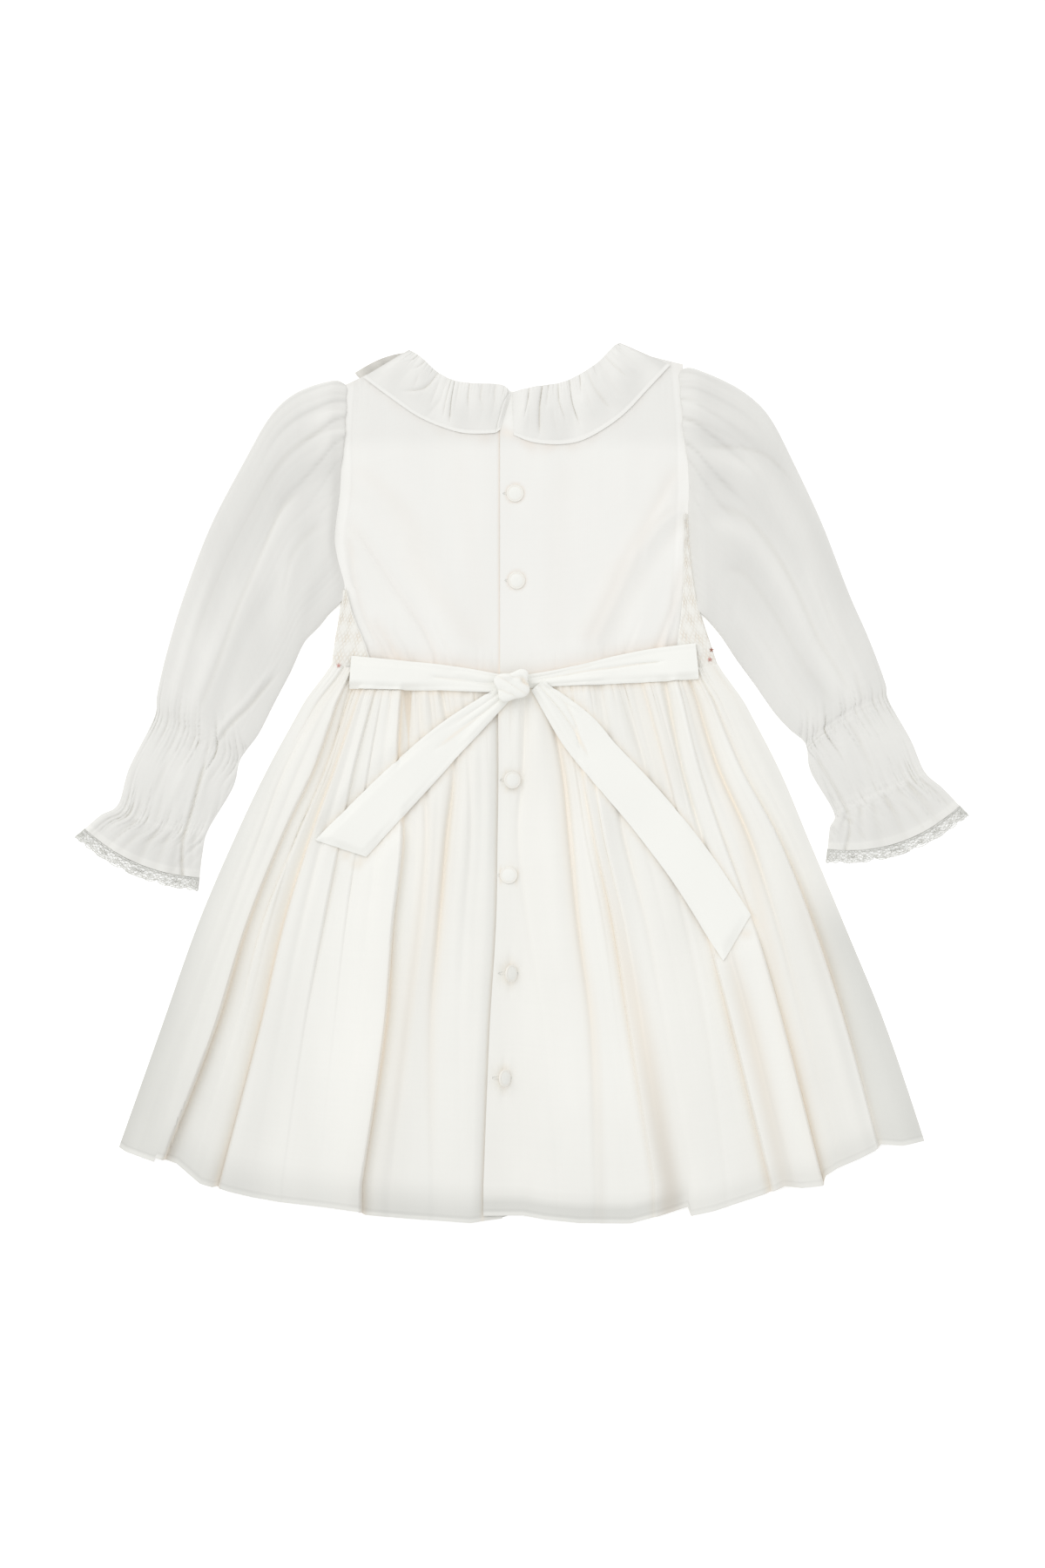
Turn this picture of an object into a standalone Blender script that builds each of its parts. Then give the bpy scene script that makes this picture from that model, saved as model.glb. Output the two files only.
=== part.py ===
"""Toddler's long-sleeved dress with a smocked front, lying flat with its buttoned back up.

Every table is in millimetres. +X is the dress's right-hand side as it lies, +Y runs to the neck, and +Z is
up. The dress rests on Z = 0 with the middle of its outline at the origin. Each piece of cloth is an open
grid, shaped by the tables and thickened into a wall.
"""

import math
from collections import namedtuple

import bmesh
import bpy
from mathutils import Matrix, Vector
from mathutils.bvhtree import BVHTree

Armhole = namedtuple("Armhole", "y x")
Side = namedtuple("Side", "y seam_x outer_x")
Fold = namedtuple("Fold", "xs rises lip roll")
Crease = namedtuple("Crease", "xs ys rise roll")
Point = namedtuple("Point", "x y")
Ring = namedtuple("Ring", "outer_x outer_y inner_x inner_y bow height gather")
Stretch = namedtuple("Stretch", "x y width")
Button = namedtuple("Button", "x y lean")


def rows(kind, *table):
    """A table's rows, with the names of its columns."""
    return [kind(*row) for row in table]


MM = 0.001  # metres in a millimetre
WALL = 1.0  # cloth
SASH_WALL = 1.2  # two layers of cloth
GAP = 0.3  # between pieces that touch
REST = 0.4  # between a piece and what it lies on

CENTRE_X = -6.0  # the placket's line on the bodice
NECK_RADIUS = 66.0  # half the neckline's width
NECK_Y = 275.8  # the neck points' mean place up the dress
NECK_TILT = 2.2  # the right-hand one lies this much above it, the left-hand one below
FRONT_NECK_DROP = 50.0  # how far the neckline sinks below them on the front
NECK_INSET = 3.6  # the bodice's neck edge lies this far under the collar's
LEFT_SHOULDER_FALL = 0.46  # slopes of the shoulders
RIGHT_SHOULDER_FALL = 0.24
LAP_EDGE_X = -14.5  # where the right half's placket ends on the left half
UNDER_LAP = 12.0  # the left half runs this far under it

WAIST_Y = 66.0  # the waist seam at the centre back
WAIST_RISE = 9.0  # and how much higher it is at the sides
WAIST_HALF = 122.0

CLOTH = (0.87, 0.86, 0.82)
SHEER = (0.78, 0.78, 0.74)
LACE = (0.72, 0.71, 0.67)
SASH = (0.89, 0.88, 0.83)

# The armholes, from the shoulder to the armpit.
ARMHOLE_LEFT = rows(
    Armhole, (252, -114), (219, -116), (186, -116), (156, -120), (142, -119), (124, -114.5)
)
ARMHOLE_RIGHT = rows(
    Armhole, (261, 101), (230, 104), (186, 105), (170, 104.5), (142, 107), (116, 112)
)

# The bodice's side seams and the outer edge of the smocked front, from the armpit to the waist.
SIDE_LEFT = rows(
    Side, (123, -113, -114), (111, -110, -115.5), (102, -107, -117), (90, -102, -119), (75, -97, -121)
)
SIDE_RIGHT = rows(
    Side,
    (174, 104.2, 104.2), (150, 103.4, 105.4), (116, 102, 110), (105, 101, 113), (90, 99, 118), (75, 98, 123),
)
TURN_TOP_LEFT = 118.0  # where the front's turned edge starts, below the armpit
TURN_TOP_RIGHT = 148.0
TURN_HEIGHT = 5.2
TURN_SPAN = 22.0  # the front under it narrows from this far above
TURN_INSET = 3.4
TURN_ROUND = 0.34  # the share of the turned edge's columns that go round its fold
TURN_ANGLE = 0.8 * math.pi
SMOCKING_RELIEF = 0.7

BODICE_BED = 3.0  # the back lies this high at its edges
BODICE_SWELL = 1.4  # and this much higher between them
LAP_RISE = 1.9  # the upper half's rise at the placket
LAP_DIP = 0.4
FRONT_LIFT = 1.3  # the front bodice rides this high on the front collar
FRONT_LIFT_Y = 178.0  # from here up
BODICE_CREASES = {
    -1: rows(
        Crease,
        ((-40, -57, -103), (85, 140, 197), 1.6, 11),
        ((-57, -78, -104), (82, 119, 156), 1.3, 7),
    ),
    1: rows(
        Crease,
        ((39, 67, 99), (87, 140, 180), 1.7, 10),
        ((90, 97, 101), (85, 120, 150), 1.0, 7),
    ),
}

# The skirt's edges and folds, whose x and rise are given at these depths below WAIST_Y.
SKIRT_DEPTHS = (0, 55, 100, 155, 220, 320)
SKIRT_LEFT_EDGE = (-130, -160.5, -182, -205.5, -228.5, -264)
SKIRT_RIGHT_EDGE = (132, 161, 180, 203, 229.5, 263)
PLACKET_X = (-16, -15.5, -16, -17, -21, -25)
# lip is the side on which the cloth stands high: -1 left, 1 right, 0 a valley between two rolls.
FOLDS_LEFT = rows(
    Fold,
    ((-119, -149, -166, -186, -208, -238), (1.5, 2.0, 1.5, 0.8, 0.5, 0.5), 0, 7),
    ((-112, -131, -152, -174, -194, -233), (2.5, 3.5, 3.5, 5.0, 7.0, 7.0), -1, 17),
    ((-106, -124, -143, -165, -182, -212), (2.0, 3.0, 3.0, 2.0, 1.0, 0.5), 1, 8),
    ((-100, -118, -134, -151, -166, -192), (2.5, 4.0, 4.5, 6.0, 6.5, 6.5), 1, 18),
    ((-91, -106, -115, -126, -138, -152), (2.0, 2.5, 2.5, 2.5, 1.2, 0.4), -1, 9),
    ((-76, -79, -76, -82, -87, -102), (4.5, 6.0, 6.5, 6.0, 6.5, 6.5), -1, 18),
    ((-66, -63, -61, -65, -73, -84), (2.0, 2.0, 2.0, 1.5, 1.5, 1.0), 0, 8),
    ((-53, -44, -48, -53, -58, -57), (3.0, 3.5, 5.0, 3.5, 2.0, 0.8), 0, 10),
    ((-38, -34, -33, -37, -40, -40), (2.0, 1.5, 1.0, 0.8, 0.6, 0.5), 0, 8),
)
FOLDS_RIGHT = rows(
    Fold,
    ((2, 0, -3, 3, 13, 22), (2.0, 1.8, 1.0, 0.6, 0.5, 0.5), 0, 8),
    ((13, 25, 30, 35, 43, 46), (3.5, 5.0, 5.5, 3.5, 2.5, 1.5), 0, 12),
    ((30, 37, 45, 57, 67, 83), (2.0, 3.5, 3.5, 3.5, 3.0, 2.5), 1, 9),
    ((47, 57, 64, 78, 90, 108), (2.0, 2.5, 2.5, 1.5, 1.0, 0.5), 0, 9),
    ((61, 77, 88, 103, 116, 129), (2.0, 2.5, 2.0, 1.5, 1.0, 0.8), 0, 9),
    ((75, 90, 101, 115, 132, 157), (2.0, 2.5, 2.0, 4.0, 5.5, 6.0), 1, 14),
    ((89, 100, 113, 128, 146, 172), (3.5, 5.5, 4.5, 1.5, 1.0, 0.5), 0, 9),
    ((98, 111, 126, 146, 165, 190), (1.5, 2.0, 2.0, 3.0, 4.5, 6.0), -1, 11),
    ((106, 123, 143, 161, 178, 204), (3.0, 5.0, 4.0, 2.5, 1.5, 1.0), 0, 10),
    ((114, 137, 161, 183, 204, 231), (2.0, 3.0, 5.0, 7.0, 5.0, 2.0), -1, 16),
)
VALLEY_HALF = 3.0  # half the width of a valley's floor
VALLEY_SHARE = 0.8  # the shares of a fold's rise that its valley, shoulders and foot take
SHOULDER_SHARE = 0.35
FOOT_SHARE = 0.3
LIP_WIDTH = 2.5  # the cloth climbs to a lip over this width
SKIRT_BED = 2.6  # the back lies this high off the front between its folds
SIDE_ROLL = 14.0  # and comes down to it over this width at the side seams
GATHER_RISE = 2.2  # every second column at the waist
GATHER_DIP = 0.6
GATHER_RUN = 100.0  # the depth at which the waist's gathers have run out
PLACKET_BED = 1.2  # the under half's height in the lap
PLACKET_RISE = 1.6  # the upper half's, above the bed
PLACKET_ROLL = 9.0
PLACKET_RIDGE = 14.0
SKIRT_ROWS = 12

# The hem's edge from left to right. A step is a fold's end.
HEM_LEFT = rows(
    Point,
    (-255.5, -230), (-251, -232.8), (-232.4, -238.5), (-231.5, -236), (-219, -240), (-211, -247),
    (-204, -253), (-196.5, -255.3), (-193.3, -254.5), (-186, -257.2), (-171, -261.3), (-154, -264.5),
    (-132, -267), (-104, -270), (-100, -272.7), (-72, -275), (-33, -277.8), (-13, -275),
)
HEM_RIGHT = rows(
    Point,
    (-25, -273), (0, -273), (14, -275.6), (36, -277.8), (68, -278), (85, -273.5), (104, -267.5),
    (106, -273.5), (121, -270.2), (137, -264.8), (153, -259.5), (165, -254), (176, -255.5), (190, -253.5),
    (192, -247.5), (199, -243), (212, -237.3), (222.5, -231.8), (226, -228), (240, -229), (255, -226),
)
FRONT_HEM_RISE = 2.5  # the front's hem lies this far above the back's
FRONT_SIDE_INSET = 1.0  # and its sides this far inside the back's

# The sleeves, ring by ring from the armhole to the cuff. bow bends a ring's middle towards the hand.
SLEEVE_LEFT = rows(
    Ring,
    (-115.5, 252, -115.5, 124, 0.0, 5.5, 0.9),
    (-126.5, 254.5, -125, 110, 0.0, 9.5, 2.0),
    (-146, 247.5, -131, 98.5, 0.0, 9.0, 1.4),
    (-161, 230.5, -139, 87.5, 0.0, 8.0, 0.6),
    (-175, 206, -147, 70, 0.0, 7.0, 0.2),
    (-197, 164, -157, 51, 0.0, 6.2, 0.0),
    (-214, 120, -165.5, 34, 0.0, 5.9, 0.0),
    (-225, 84, -170, 27, 0.0, 5.9, 0.3),
    (-231.5, 56, -175, 20.5, 0.5, 5.4, 0.9),
    (-233.5, 41, -179.5, 13, 1.0, 4.6, 0.9),
    (-249, 10, -183.5, -3, 2.5, 5.9, 0.6),
    (-256, -13, -199, -29.5, 5.5, 4.6, 0.9),
    (-267, -20, -202.5, -43.5, 6.5, 5.9, 1.3),
    (-277, -28.5, -204.5, -59.5, 7.0, 5.7, 1.6),
)
SLEEVE_RIGHT = rows(
    Ring,
    (101.5, 261, 112.5, 116, 0.0, 5.5, 0.9),
    (115, 262, 118, 105.5, 0.0, 9.5, 2.0),
    (138, 251, 123.5, 96.5, 0.0, 9.0, 1.4),
    (156, 231.5, 129, 87, 0.0, 8.0, 0.6),
    (171, 203, 136, 76.5, 0.0, 7.0, 0.2),
    (189, 164.5, 147, 61.5, 0.0, 6.2, 0.0),
    (206, 120.5, 158.5, 45, 0.0, 5.9, 0.0),
    (218.5, 92, 168.5, 34, 0.0, 5.9, 0.3),
    (229, 64, 176.5, 27.5, -2.0, 5.4, 0.6),
    (231.5, 52, 179.5, 22, -4.0, 4.6, 0.8),
    (245, 28, 182, 7, -1.0, 5.9, 0.6),
    (254, 7.5, 196.5, -18.5, 0.0, 4.6, 0.9),
    (265.5, -3, 194, -28, 6.5, 5.9, 1.3),
    (276, -14, 192.5, -41.5, 10.0, 5.7, 1.6),
)
SLEEVE_ROUND = 28  # points round a ring
SLEEVE_TOP_SHARE = 0.7  # of them on its upper layer
SLEEVE_STOPS = (0, 0.5, 1, 1.5, 2, 3, 4, 5, 6, 7, 8, 8.5, 9, 9.5, 10, 10.5, 11, 11.5, 12, 12.5, 13)
SLEEVE_EDGE = 2.0  # height of a flattened ring's two side folds
SLEEVE_CROWN = 0.75  # under 1, the upper layer is flatter than an arch
GATHER_TROUGH = -0.6  # how far the gathers of a ring dip, as a share of their rise
HEAD_RINGS = 4  # the gathers are broad on these rings, and close on the others
HEAD_WAVE = (GATHER_TROUGH, 0.2, 1.0, 0.2)
CUFF_WAVE = (GATHER_TROUGH, 1.0)
ARMHOLE_RINGS = 3.0  # the rings that ease from the armhole's curve to a straight one

LACE_FALL = 8.0  # width of the lace below the cuff's hem
LACE_LEVEL = -0.2  # the lace lies between the crests and troughs of the hem's gathers
LACE_TAPER = 0.8
SCALLOPS = 16
SCALLOP_POINTS = 3
SCALLOP_DEPTH = 1.6

# The collar's edges, each point of the neck's with the one that lies out from it, from the centre back to the
# shoulder, and its pleats, as shares of that way.
COLLAR_LEFT_NECK = rows(
    Point, (-7.5, 246.5), (-14, 251.5), (-33, 252.5), (-45, 254.7), (-55, 260.2), (-64.5, 269), (-72, 273.5)
)
COLLAR_LEFT_EDGE = rows(
    Point, (-14.5, 223), (-19.5, 221), (-37, 221), (-53, 225.5), (-68, 232.5), (-86, 245), (-101, 256.3)
)
COLLAR_LEFT_PLEATS = (0.1, 0.19, 0.25, 0.32, 0.42, 0.54, 0.68, 0.83)
COLLAR_RIGHT_NECK = rows(
    Point, (-6.5, 247), (7.5, 250.3), (22.5, 252.5), (32.5, 256.3), (46.5, 265), (56.5, 275), (61, 278)
)
COLLAR_RIGHT_EDGE = rows(
    Point, (-3.5, 219.5), (8, 215), (25, 214), (41, 218), (62, 231.5), (80, 250), (93, 264)
)
COLLAR_RIGHT_PLEATS = (0.13, 0.21, 0.32, 0.43, 0.55, 0.62, 0.7, 0.87)
COLLAR_WIDTH = 29.0
COLLAR_WAVE = 2.8
COLLAR_PLEAT = 0.12  # a pleat narrower than this share stands less high
COLLAR_STAND = 1.2
COLLAR_SWELL = 1.6
COLLAR_REACH = 7.0
COLLAR_FOOT = 4.4  # its lowest height, at the fold on the shoulder
COLLAR_FOLD = 0.06  # the share of its length over which it closes on the shoulder
FLAP_REACH = 1.18  # the front collar's end at the left shoulder flares past its width
SHOULDER_DROP = 12.5  # the front collar's ends slope down this much to their outer edge

# The sash, each stretch as the run of its middle and its width.
SASH_BAND_LEFT = rows(Stretch, (-109, 70, 20), (-76, 68, 18), (-44, 66, 15), (-15, 63, 11))
SASH_BAND_RIGHT = rows(Stretch, (110, 77, 22), (79, 74, 20), (48, 70, 15), (22, 66.5, 10), (1, 64, 8))
SASH_TAIL_LEFT = rows(Stretch, (-13, 56, 11), (-46, 28, 22), (-77, -2, 27), (-115, -41, 30))
SASH_TAIL_RIGHT = rows(
    Stretch, (9, 62, 9), (33, 35, 24), (51, 13.5, 26), (78.5, -17.5, 28), (107, -54, 29), (135, -97.5, 30)
)
SASH_REACH = 9.0  # the sash bridges folds closer than this
SASH_BARE = 6.0  # its height where nothing is below it
TAIL_SLANT = -15.0  # how far the cut end of a tail runs off square, its outer side the longer
KNOT_SIZE = (23.0, 19.0, 8.0)
KNOT_FLAT = 0.18  # the share of its height that is pressed flat below its middle
KNOT_AT = (-6.5, 61.5)
KNOT_TURN = 20.0

# The covered buttons: place, and the lean in degrees of those that stand turned in their buttonholes.
BUTTONS = rows(
    Button, (-5, 183, 0), (-4, 128, 0), (-7, 2, 18), (-9, -58, 0), (-8, -120, 50), (-12, -186, 50)
)
BUTTON_RADIUS = 5.5
# From its crown, over its rolled rim, to its flat back: how far out and how high.
BUTTON_PROFILE = ((0.0, 3.6), (3.3, 3.1), (5.5, 1.6), (5.5, 0.8), (4.4, 0.0), (0.0, 0.0))
BUTTON_STEPS = 14


def smooth_step(value):
    value = min(max(value, 0.0), 1.0)
    return value * value * (3 - 2 * value)


def bump(away, half):
    """1 at the middle of a soft ridge, falling off to each side."""
    return math.exp(-((away / half) ** 2))


def along(stations, values, at):
    """The value at a place, on a smooth curve through a table's rows; stations run up or down."""
    if stations[0] > stations[-1]:
        stations = stations[::-1]
        values = values[::-1]
    last = len(stations) - 1
    if at <= stations[0]:
        return values[0]
    if at >= stations[last]:
        return values[last]
    row = max(index for index in range(last) if stations[index] <= at)

    def slope(index):
        low = max(index - 1, 0)
        high = min(index + 1, last)
        return (values[high] - values[low]) / (stations[high] - stations[low])

    span = stations[row + 1] - stations[row]
    t = (at - stations[row]) / span
    held = values[row] * (1 - t) ** 2 * (1 + 2 * t) + values[row + 1] * t * t * (3 - 2 * t)
    turned = slope(row) * t * (1 - t) ** 2 - slope(row + 1) * t * t * (1 - t)
    return held + turned * span


def straight(stations, values, at):
    """The value at a place, on straight runs between a table's rows."""
    if at <= stations[0]:
        return values[0]
    for index in range(len(stations) - 1):
        if at <= stations[index + 1]:
            share = (at - stations[index]) / (stations[index + 1] - stations[index])
            return values[index] + (values[index + 1] - values[index]) * share
    return values[-1]


def column(table, name):
    return [getattr(row, name) for row in table]


def row_at(table, place):
    """The table's row at a place between its rows, each column on a smooth curve."""
    stations = list(range(len(table)))
    kind = type(table[0])
    return kind(*(along(stations, column(table, name), place) for name in kind._fields))


def material(name, colour, roughness):
    made = bpy.data.materials.new(name)
    made.use_nodes = True
    shader = made.node_tree.nodes["Principled BSDF"]
    shader.inputs["Base Color"].default_value = (*colour, 1.0)
    shader.inputs["Roughness"].default_value = roughness
    shader.inputs["Metallic"].default_value = 0.0
    return made


def add_object(name, mesh, look):
    made = bpy.data.objects.new(name, mesh)
    mesh.materials.append(look)
    bpy.data.collections["Toddler dress"].objects.link(made)
    return made


def cloth(name, columns, lines, place, look, wall=WALL, side=1.0, tube=False):
    """A grid of columns by lines whose points are placed by (u, v), thickened to one side into a wall."""
    mesh = bpy.data.meshes.new(name)
    bm = bmesh.new()
    bmesh.ops.create_grid(bm, x_segments=columns, y_segments=lines, size=0.5)
    for vertex in bm.verts:
        u = round((vertex.co.x + 0.5) * columns) / columns
        v = round((0.5 - vertex.co.y) * lines) / lines
        vertex.co = Vector(place(u, v)) * MM
    if tube:
        bmesh.ops.remove_doubles(bm, verts=bm.verts, dist=0.001 * MM)
    bm.to_mesh(mesh)
    bm.free()
    mesh.shade_smooth()
    made = add_object(name, mesh, look)
    solidify = made.modifiers.new("Cloth", "SOLIDIFY")
    solidify.thickness = wall * MM
    solidify.offset = side
    solidify.use_even_offset = True
    return made


class Below:
    """The tops of the pieces laid so far, for the piece that goes over them."""

    def __init__(self, *names):
        bpy.context.view_layer.update()
        graph = bpy.context.evaluated_depsgraph_get()
        self.trees = [BVHTree.FromObject(bpy.data.objects[name], graph) for name in names]

    def height(self, x, y, reach, bare):
        """The highest top within reach of a place, in millimetres, or bare where there is nothing."""
        spots = [(0.0, 0.0)]
        for ring in (0.33, 0.67, 1.0):
            for turn in range(12):
                angle = math.tau * turn / 12
                spots.append((reach * ring * math.cos(angle), reach * ring * math.sin(angle)))
        tops = []
        for dx, dy in spots:
            start = Vector(((x + dx) * MM, (y + dy) * MM, 1.0))
            for tree in self.trees:
                hit = tree.ray_cast(start, Vector((0, 0, -1)))[0]
                if hit:
                    tops.append(hit.z / MM)
        return max(tops) if tops else bare


def waist(x):
    """The waist seam, which rises to the sides."""
    return WAIST_Y + WAIST_RISE * (x / WAIST_HALF) ** 2


# Skirt


def run_x(xs, depth):
    """Where a run down the skirt is at a depth. Above the first depth it goes straight on."""
    climb = (xs[1] - xs[0]) / (SKIRT_DEPTHS[1] - SKIRT_DEPTHS[0])
    return along(SKIRT_DEPTHS, xs, depth) + climb * min(depth, 0.0)


def skirt_top(xs):
    """The y at which a run down the skirt starts at the waist seam."""
    top_y = WAIST_Y
    for _ in range(4):
        top_y = waist(run_x(xs, WAIST_Y - top_y)) - GAP
    return top_y


def skirt_foot(xs, hem):
    """The y at which a run down the skirt meets the hem."""
    foot_y = WAIST_Y - SKIRT_DEPTHS[-1]
    for _ in range(4):
        foot_y = straight(column(hem, "x"), column(hem, "y"), run_x(xs, WAIST_Y - foot_y))
    return foot_y


def fold_height(folds, x, depth):
    """How high the folds stand at a place on the skirt, below nought in a valley."""
    total = 0.0
    for fold in folds:
        away = x - run_x(fold.xs, depth)
        rise = along(SKIRT_DEPTHS, fold.rises, depth)
        if fold.lip == 0:
            total -= VALLEY_SHARE * rise * bump(away, VALLEY_HALF)
            total += SHOULDER_SHARE * rise * bump(abs(away) - fold.roll, 0.6 * fold.roll)
        elif away * fold.lip > 0:
            total += rise * smooth_step(away * fold.lip / LIP_WIDTH) * bump(away, fold.roll)
        else:
            total -= FOOT_SHARE * rise * bump(away, FOOT_SHARE * fold.roll)
    return total


def skirt_columns(left, right, folds):
    """The runs of the sheet's columns: one in each crease, one on its lip, and even ones between."""
    widest = 8.0
    creases = [left, right]
    for fold in folds:
        creases.append(tuple(x - 0.4 * fold.lip for x in fold.xs))
        if fold.lip:
            creases.append(tuple(x + (LIP_WIDTH - 0.1) * fold.lip for x in fold.xs))
    creases.sort(key=sum)
    runs = []
    for before, after in zip(creases, creases[1:]):
        wide = max(b - a for a, b in zip(before, after))
        steps = max(1, min(4, round(wide / widest)))
        for index in range(steps):
            share = index / steps
            runs.append(tuple(a + (b - a) * share for a, b in zip(before, after)))
    runs.append(right)
    return runs


def skirt_back(name, side_seam, placket_edge, folds, hem, look):
    """A half of the skirt's back. The right-hand half's placket edge lies over the left-hand one's."""
    over = side_seam[0] > placket_edge[0]
    runs = skirt_columns(min(side_seam, placket_edge), max(side_seam, placket_edge), folds)
    tops = [skirt_top(run) for run in runs]
    feet = [skirt_foot(run, hem) for run in runs]

    def place(u, v):
        index = round(u * (len(runs) - 1))
        y = tops[index] + (feet[index] - tops[index]) * v**1.3
        depth = WAIST_Y - y
        x = run_x(runs[index], depth)
        from_side = abs(x - run_x(side_seam, depth))
        from_placket = (x - run_x(PLACKET_X, depth)) * (1 if over else -1)
        roll = smooth_step(from_side / SIDE_ROLL)
        bed = SKIRT_BED * roll
        fade = smooth_step(1 - depth / GATHER_RUN)
        gather = (GATHER_RISE if index % 2 else -GATHER_DIP) * fade
        rise = (fold_height(folds, x, depth) + gather) * roll
        if over:
            bed += PLACKET_RISE * bump(from_placket, PLACKET_RIDGE)
            rise *= smooth_step(from_placket / PLACKET_ROLL)
        else:
            clear = smooth_step((from_placket + 1.0) / PLACKET_ROLL)
            bed = PLACKET_BED + (bed - PLACKET_BED) * clear
            rise *= clear
        return x, y, WALL + GAP + max(0.0, bed + rise)

    return cloth(name, len(runs) - 1, SKIRT_ROWS, place, look)


def skirt_front(look):
    """The front of the skirt, flat on its face, just inside the back's outline."""
    hem = HEM_LEFT[:-1] + HEM_RIGHT[1:]
    columns = 40
    left = tuple(x + FRONT_SIDE_INSET for x in SKIRT_LEFT_EDGE)
    right = tuple(x - FRONT_SIDE_INSET for x in SKIRT_RIGHT_EDGE)

    def place(u, v):
        run = tuple(a + (b - a) * u for a, b in zip(left, right))
        top_y = skirt_top(run)
        y = top_y + (skirt_foot(run, hem) + FRONT_HEM_RISE - top_y) * v
        return run_x(run, WAIST_Y - y), y, 0.0

    return cloth("front_skirt", columns, 10, place, look)


# Bodice


def edge_x(armhole, side_table, y, seam):
    """The bodice's edge at a height: the armhole above the side seam, a side column from there down."""
    if y > side_table[0].y:
        return along(column(armhole, "y"), column(armhole, "x"), y)
    return along(column(side_table, "y"), column(side_table, seam), y)


def shoulder(off):
    """The shoulder line, where off runs from 1 at a neck point outwards."""
    fall = LEFT_SHOULDER_FALL if off < 0 else RIGHT_SHOULDER_FALL
    return NECK_Y + math.copysign(NECK_TILT, off) - (abs(off) - 1) * NECK_RADIUS * fall


def front_neckline(x):
    off = (x - CENTRE_X) / NECK_RADIUS
    if abs(off) > 1:
        return shoulder(off)
    return NECK_Y + NECK_TILT * off - FRONT_NECK_DROP * math.sqrt(1 - off * off)


def back_neckline(x):
    off = (x - CENTRE_X) / NECK_RADIUS
    if abs(off) > 1:
        return shoulder(off)
    edge = COLLAR_LEFT_NECK[:0:-1] + COLLAR_RIGHT_NECK[1:]
    return along(column(edge, "x"), column(edge, "y"), x)


def bodice_crease(x, y, side):
    """The long soft folds that run from the armholes to the middle of the waist."""
    total = 0.0
    for crease in BODICE_CREASES[side]:
        away = x - along(crease.ys, crease.xs, y)
        fade = smooth_step((crease.ys[-1] + 14 - y) / 30.0)
        total += crease.rise * fade * bump(away, crease.roll)
        total -= 0.5 * crease.rise * fade * bump(away - 1.6 * crease.roll * side, 0.8 * crease.roll)
    return total


def bodice_back(name, armhole, side_table, side, look):
    """A half of the bodice's back, from the placket to the side: -1 on the left, 1 on the right."""
    columns = 16
    inner = LAP_EDGE_X if side > 0 else LAP_EDGE_X + UNDER_LAP
    outer_top = armhole[0].x - 0.5 * side
    outer_low = side_table[-1].seam_x

    def place(u, v):
        y_top = back_neckline(inner + (outer_top - inner) * u) - NECK_INSET
        y_low = waist(inner + (outer_low - inner) * u) + GAP
        y = y_top + (y_low - y_top) * v
        outer = edge_x(armhole, side_table, y, "seam_x") - GAP * side
        x = inner + (outer - inner) * u
        bed = BODICE_BED + BODICE_SWELL * smooth_step(u / 0.25) * smooth_step((1 - u) / 0.2)
        lap = (LAP_RISE if side > 0 else -LAP_DIP) * bump(u, 0.18)
        crease = bodice_crease(x, y, side) * smooth_step(u / 0.2) * smooth_step((1 - u) / 0.12)
        below_neck = smooth_step(v / 0.12)
        gather = (0.5 if round(u * columns) % 2 else -0.3) * smooth_step((v - 0.8) / 0.2)
        return x, y, bed + lap + max(crease, -1.0) * below_neck + gather

    return cloth(name, columns, 12, place, look, side=float(side))


def bodice_front(look):
    """The front of the bodice, flat on its face, lifted a little where the front collar lies under it."""

    def place(u, v):
        left = ARMHOLE_LEFT[0].x + 0.5
        right = ARMHOLE_RIGHT[0].x - 0.5
        y_top = front_neckline(left + (right - left) * u) - NECK_INSET
        left = SIDE_LEFT[-1].outer_x
        right = SIDE_RIGHT[-1].outer_x
        y_low = waist(left + (right - left) * u) + GAP
        y = y_top + (y_low - y_top) * v
        left = edge_x(ARMHOLE_LEFT, SIDE_LEFT, y, "outer_x") + 2 * GAP
        right = edge_x(ARMHOLE_RIGHT, SIDE_RIGHT, y, "outer_x") - 2 * GAP
        left += TURN_INSET * smooth_step((TURN_TOP_LEFT + TURN_SPAN - y) / 7.0)
        right -= TURN_INSET * smooth_step((TURN_TOP_RIGHT + TURN_SPAN - y) / 7.0)
        lift = FRONT_LIFT * smooth_step((y - FRONT_LIFT_Y) / 12.0)
        return left + (right - left) * u, y, lift

    return cloth("front_bodice", 20, 14, place, look)


def bodice_turn(name, table, top, side, look):
    """The smocked edge of the front, turned up round the side and over to the side seam."""
    foot = waist(WAIST_HALF) + GAP
    radius = TURN_HEIGHT / 2
    run = 0.9 * radius
    turned_z = radius * (1 - math.cos(TURN_ANGLE))
    columns = 10
    lines = 14

    def place(u, v):
        y = top + (foot - top) * v
        seam = along(column(table, "y"), column(table, "seam_x"), y) + GAP * side
        outer = along(column(table, "y"), column(table, "outer_x"), y)
        wide = max(TURN_HEIGHT / 2, abs(outer - seam))
        if u < TURN_ROUND:
            turn = u / TURN_ROUND * TURN_ANGLE
            return outer - side * run * (1 - math.sin(turn)), y, radius * (1 - math.cos(turn))
        start = outer - side * run * (1 - math.sin(TURN_ANGLE))
        share = (u - TURN_ROUND) / (1 - TURN_ROUND)
        x = start + (outer - side * wide - start) * share
        raised = (round(u * columns) + round(v * lines)) % 2
        within = smooth_step((1 - share) / 0.1) * smooth_step(share / 0.1) * smooth_step(wide / 6.0)
        return x, y, turned_z + REST * share + SMOCKING_RELIEF * raised * within

    return cloth(name, columns, lines, place, look, side=float(side))


# Sleeves


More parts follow.
